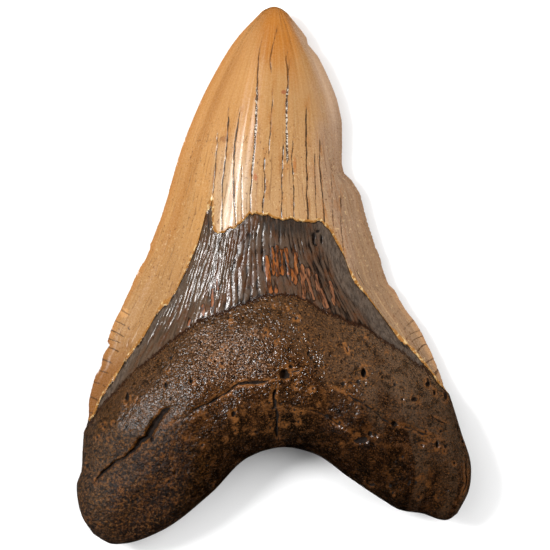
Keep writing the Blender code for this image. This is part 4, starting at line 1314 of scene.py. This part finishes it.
class ToothColours(PropertyGroup):
    """Colours of the tooth."""

    enamel: colour_property("Enamel", "Middle of the crown", (158, 118, 73))
    enamel_left: colour_property("Enamel, left", "Warmer left side of the crown", (174, 128, 76))
    enamel_right: colour_property("Enamel, right", "Duller right side of the crown", (158, 132, 114))
    tip: colour_property("Tip", "Stained tip of the crown", (158, 96, 30))
    stain: colour_property("Stain", "Ochre stain beside the crown's cracks", (146, 92, 40))
    rim: colour_property("Rim", "Cutting edge of the enamel", (164, 108, 54))
    enamel_low: colour_property("Enamel, lower right", "Lower right end of the crown", (126, 100, 75))
    foot: colour_property("Foot", "Orange lower end of the crown's left side", (120, 76, 38))
    lip: colour_property("Lip", "Broken lower edge of the enamel", (148, 100, 46))
    fibre: colour_property("Fibre", "Crests of the bourlette's fibres", (74, 57, 44))
    # Painted shade in the grooves between the fibres.
    fibre_dark: colour_property("Dark fibre", "Hollows between the bourlette's fibres", (20, 13, 9))
    rust: colour_property("Rust", "Rusty stain on the bourlette", (78, 46, 24))
    # Partly the margin's own grey, partly painted sheen of the light from the right.
    slate: colour_property("Slate", "Smooth margin of the bourlette along the enamel", (90, 77, 66))
    flake: colour_property("Flake", "Rusty flakes on the bourlette", (124, 68, 26))
    flake_right: colour_property("Flake, right", "Paler flakes on the right", (112, 72, 48))
    # Partly the step's own red-brown, partly painted shade in its crease.
    border: colour_property("Border", "Red-brown step between the bourlette and the root", (40, 21, 11))
    root_upper: colour_property("Root, upper", "Root below the bourlette", (70, 49, 32))
    root_middle: colour_property("Root, middle", "Redder middle of the root", (48, 26, 10))
    # Darker near the base as painted shade.
    root_lower: colour_property("Root, lower", "Root near its base", (27, 16, 7))
    grain: colour_property("Grain", "Pale grains of the root", (96, 62, 34))


class StageSettings(PropertyGroup):
    """Sizes of the stage."""

    floor_size: FloatProperty(name="Floor", description="Side of the floor", default=2.4, unit="LENGTH")
    camera_height: FloatProperty(
        name="Camera height", description="Height of the camera over the tooth", default=0.9, unit="LENGTH"
    )
    key_power: FloatProperty(
        name="Key light", description="Power of the key light", default=10.5, unit="POWER"
    )
    soft_power: FloatProperty(
        name="Soft light", description="Power of the wide light round the key", default=4.6, unit="POWER"
    )
    fill_power: FloatProperty(
        name="Fill light", description="Power of the fill light", default=12.0, unit="POWER"
    )
    room_light: FloatProperty(
        name="Room light", description="Strength of the light from all round", default=0.1
    )


class TOOTH_OT_build(Operator):
    """Build the tooth's visible mesh and its finish in place of the plain solid"""

    bl_idname = "tooth.build"
    bl_label = "Build tooth"

    def execute(self, context):
        mesh = tooth_mesh(context.scene.tooth_shape)
        data = bpy.data.meshes.new("megalodon_tooth")
        mesh.to_mesh(data)
        mesh.free()
        tooth = bpy.data.objects.new("megalodon_tooth", data)
        context.scene.collection.objects.link(tooth)
        data.materials.append(tooth_material(context.scene.tooth_colours))
        data.shade_smooth()
        data.set_sharp_from_angle(angle=np.radians(SHARP_ANGLE))
        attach(tooth, "root")
        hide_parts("tooth")
        return {"FINISHED"}


def area_light(context, name, place, size, power):
    """A round light that shines on the tooth."""
    data = bpy.data.lights.new(name, "AREA")
    data.shape = "DISK"
    data.size = size
    data.energy = power
    light = bpy.data.objects.new(name, data)
    light.location = place
    light.rotation_euler = (-Vector(place)).to_track_quat("-Z", "Y").to_euler()
    context.scene.collection.objects.link(light)
    return light


def floor_material():
    """Nearly white, with the faintest clouds."""
    material = bpy.data.materials.new("pale_floor")
    material.use_nodes = True
    make = NodeMaker(material, {})
    tone = make.blend(make.noise(make.where, FLOOR_CLOUDS), *(paint(*seen) for seen in FLOOR_TONES))
    make.give(make.shader.inputs["Base Color"], tone)
    make.shader.inputs["Roughness"].default_value = FLOOR_ROUGHNESS
    make.shader.inputs["Specular IOR Level"].default_value = FLOOR_SPECULAR
    return material


class TOOTH_OT_build_stage(Operator):
    """Build the floor, the lights and the camera"""

    bl_idname = "tooth.build_stage"
    bl_label = "Build stage"

    def execute(self, context):
        stage = context.scene.tooth_stage
        mesh = bmesh.new()
        bmesh.ops.create_grid(mesh, x_segments=1, y_segments=1, size=stage.floor_size / 2)
        data = bpy.data.meshes.new("floor")
        mesh.to_mesh(data)
        mesh.free()
        floor = bpy.data.objects.new("floor", data)
        floor.location.z = -FLOOR_GAP
        data.materials.append(floor_material())
        context.scene.collection.objects.link(floor)
        area_light(context, "key_light", KEY_FROM, KEY_SIZE, stage.key_power)
        soft = area_light(context, "soft_light", SOFT_FROM, WIDE_SIZE, stage.soft_power)
        fill = area_light(context, "fill_light", FILL_FROM, WIDE_SIZE, stage.fill_power)
        # Only the key light glints, so the wide lights and the floor leave no grey veil on the dark root.
        soft.visible_glossy = fill.visible_glossy = floor.visible_glossy = False
        world = bpy.data.worlds.new("studio")
        world.use_nodes = True
        background = world.node_tree.nodes["Background"]
        background.inputs["Color"].default_value = (1, 1, 1, 1)
        background.inputs["Strength"].default_value = stage.room_light
        context.scene.world = world
        world.cycles_visibility.glossy = False
        context.scene.view_settings.view_transform = "Standard"
        data = bpy.data.cameras.new("camera")
        data.sensor_width = SENSOR_WIDTH
        data.lens = SENSOR_WIDTH * (stage.camera_height - MIDDLE_HEIGHT) / (PICTURE_WIDTH * PIXEL * UNIT)
        camera = bpy.data.objects.new("camera", data)
        camera.location = (CAMERA_ASIDE * PIXEL * UNIT, 0, stage.camera_height)
        context.scene.collection.objects.link(camera)
        context.scene.camera = camera
        return {"FINISHED"}


class TOOTH_PT_panel(Panel):
    """Sizes and colours of the tooth"""

    bl_label = "Megalodon tooth"
    bl_space_type = "VIEW_3D"
    bl_region_type = "UI"
    bl_category = "Tooth"

    def draw(self, context):
        for group in (context.scene.tooth_shape, context.scene.tooth_colours, context.scene.tooth_stage):
            box = self.layout.box()
            for name in group.__annotations__:
                box.prop(group, name)
        self.layout.operator("tooth.build")
        self.layout.operator("tooth.build_stage")


CLASSES = (ToothShape, ToothColours, StageSettings, TOOTH_OT_build, TOOTH_OT_build_stage, TOOTH_PT_panel)


def register():
    for item in CLASSES:
        bpy.utils.register_class(item)
    bpy.types.Scene.tooth_shape = PointerProperty(type=ToothShape)
    bpy.types.Scene.tooth_colours = PointerProperty(type=ToothColours)
    bpy.types.Scene.tooth_stage = PointerProperty(type=StageSettings)


def unregister():
    del bpy.types.Scene.tooth_stage
    del bpy.types.Scene.tooth_colours
    del bpy.types.Scene.tooth_shape
    for item in reversed(CLASSES):
        bpy.utils.unregister_class(item)


def main():
    register()
    bpy.ops.tooth.build()
    bpy.ops.tooth.build_stage()


if __name__ == "__main__":
    main()
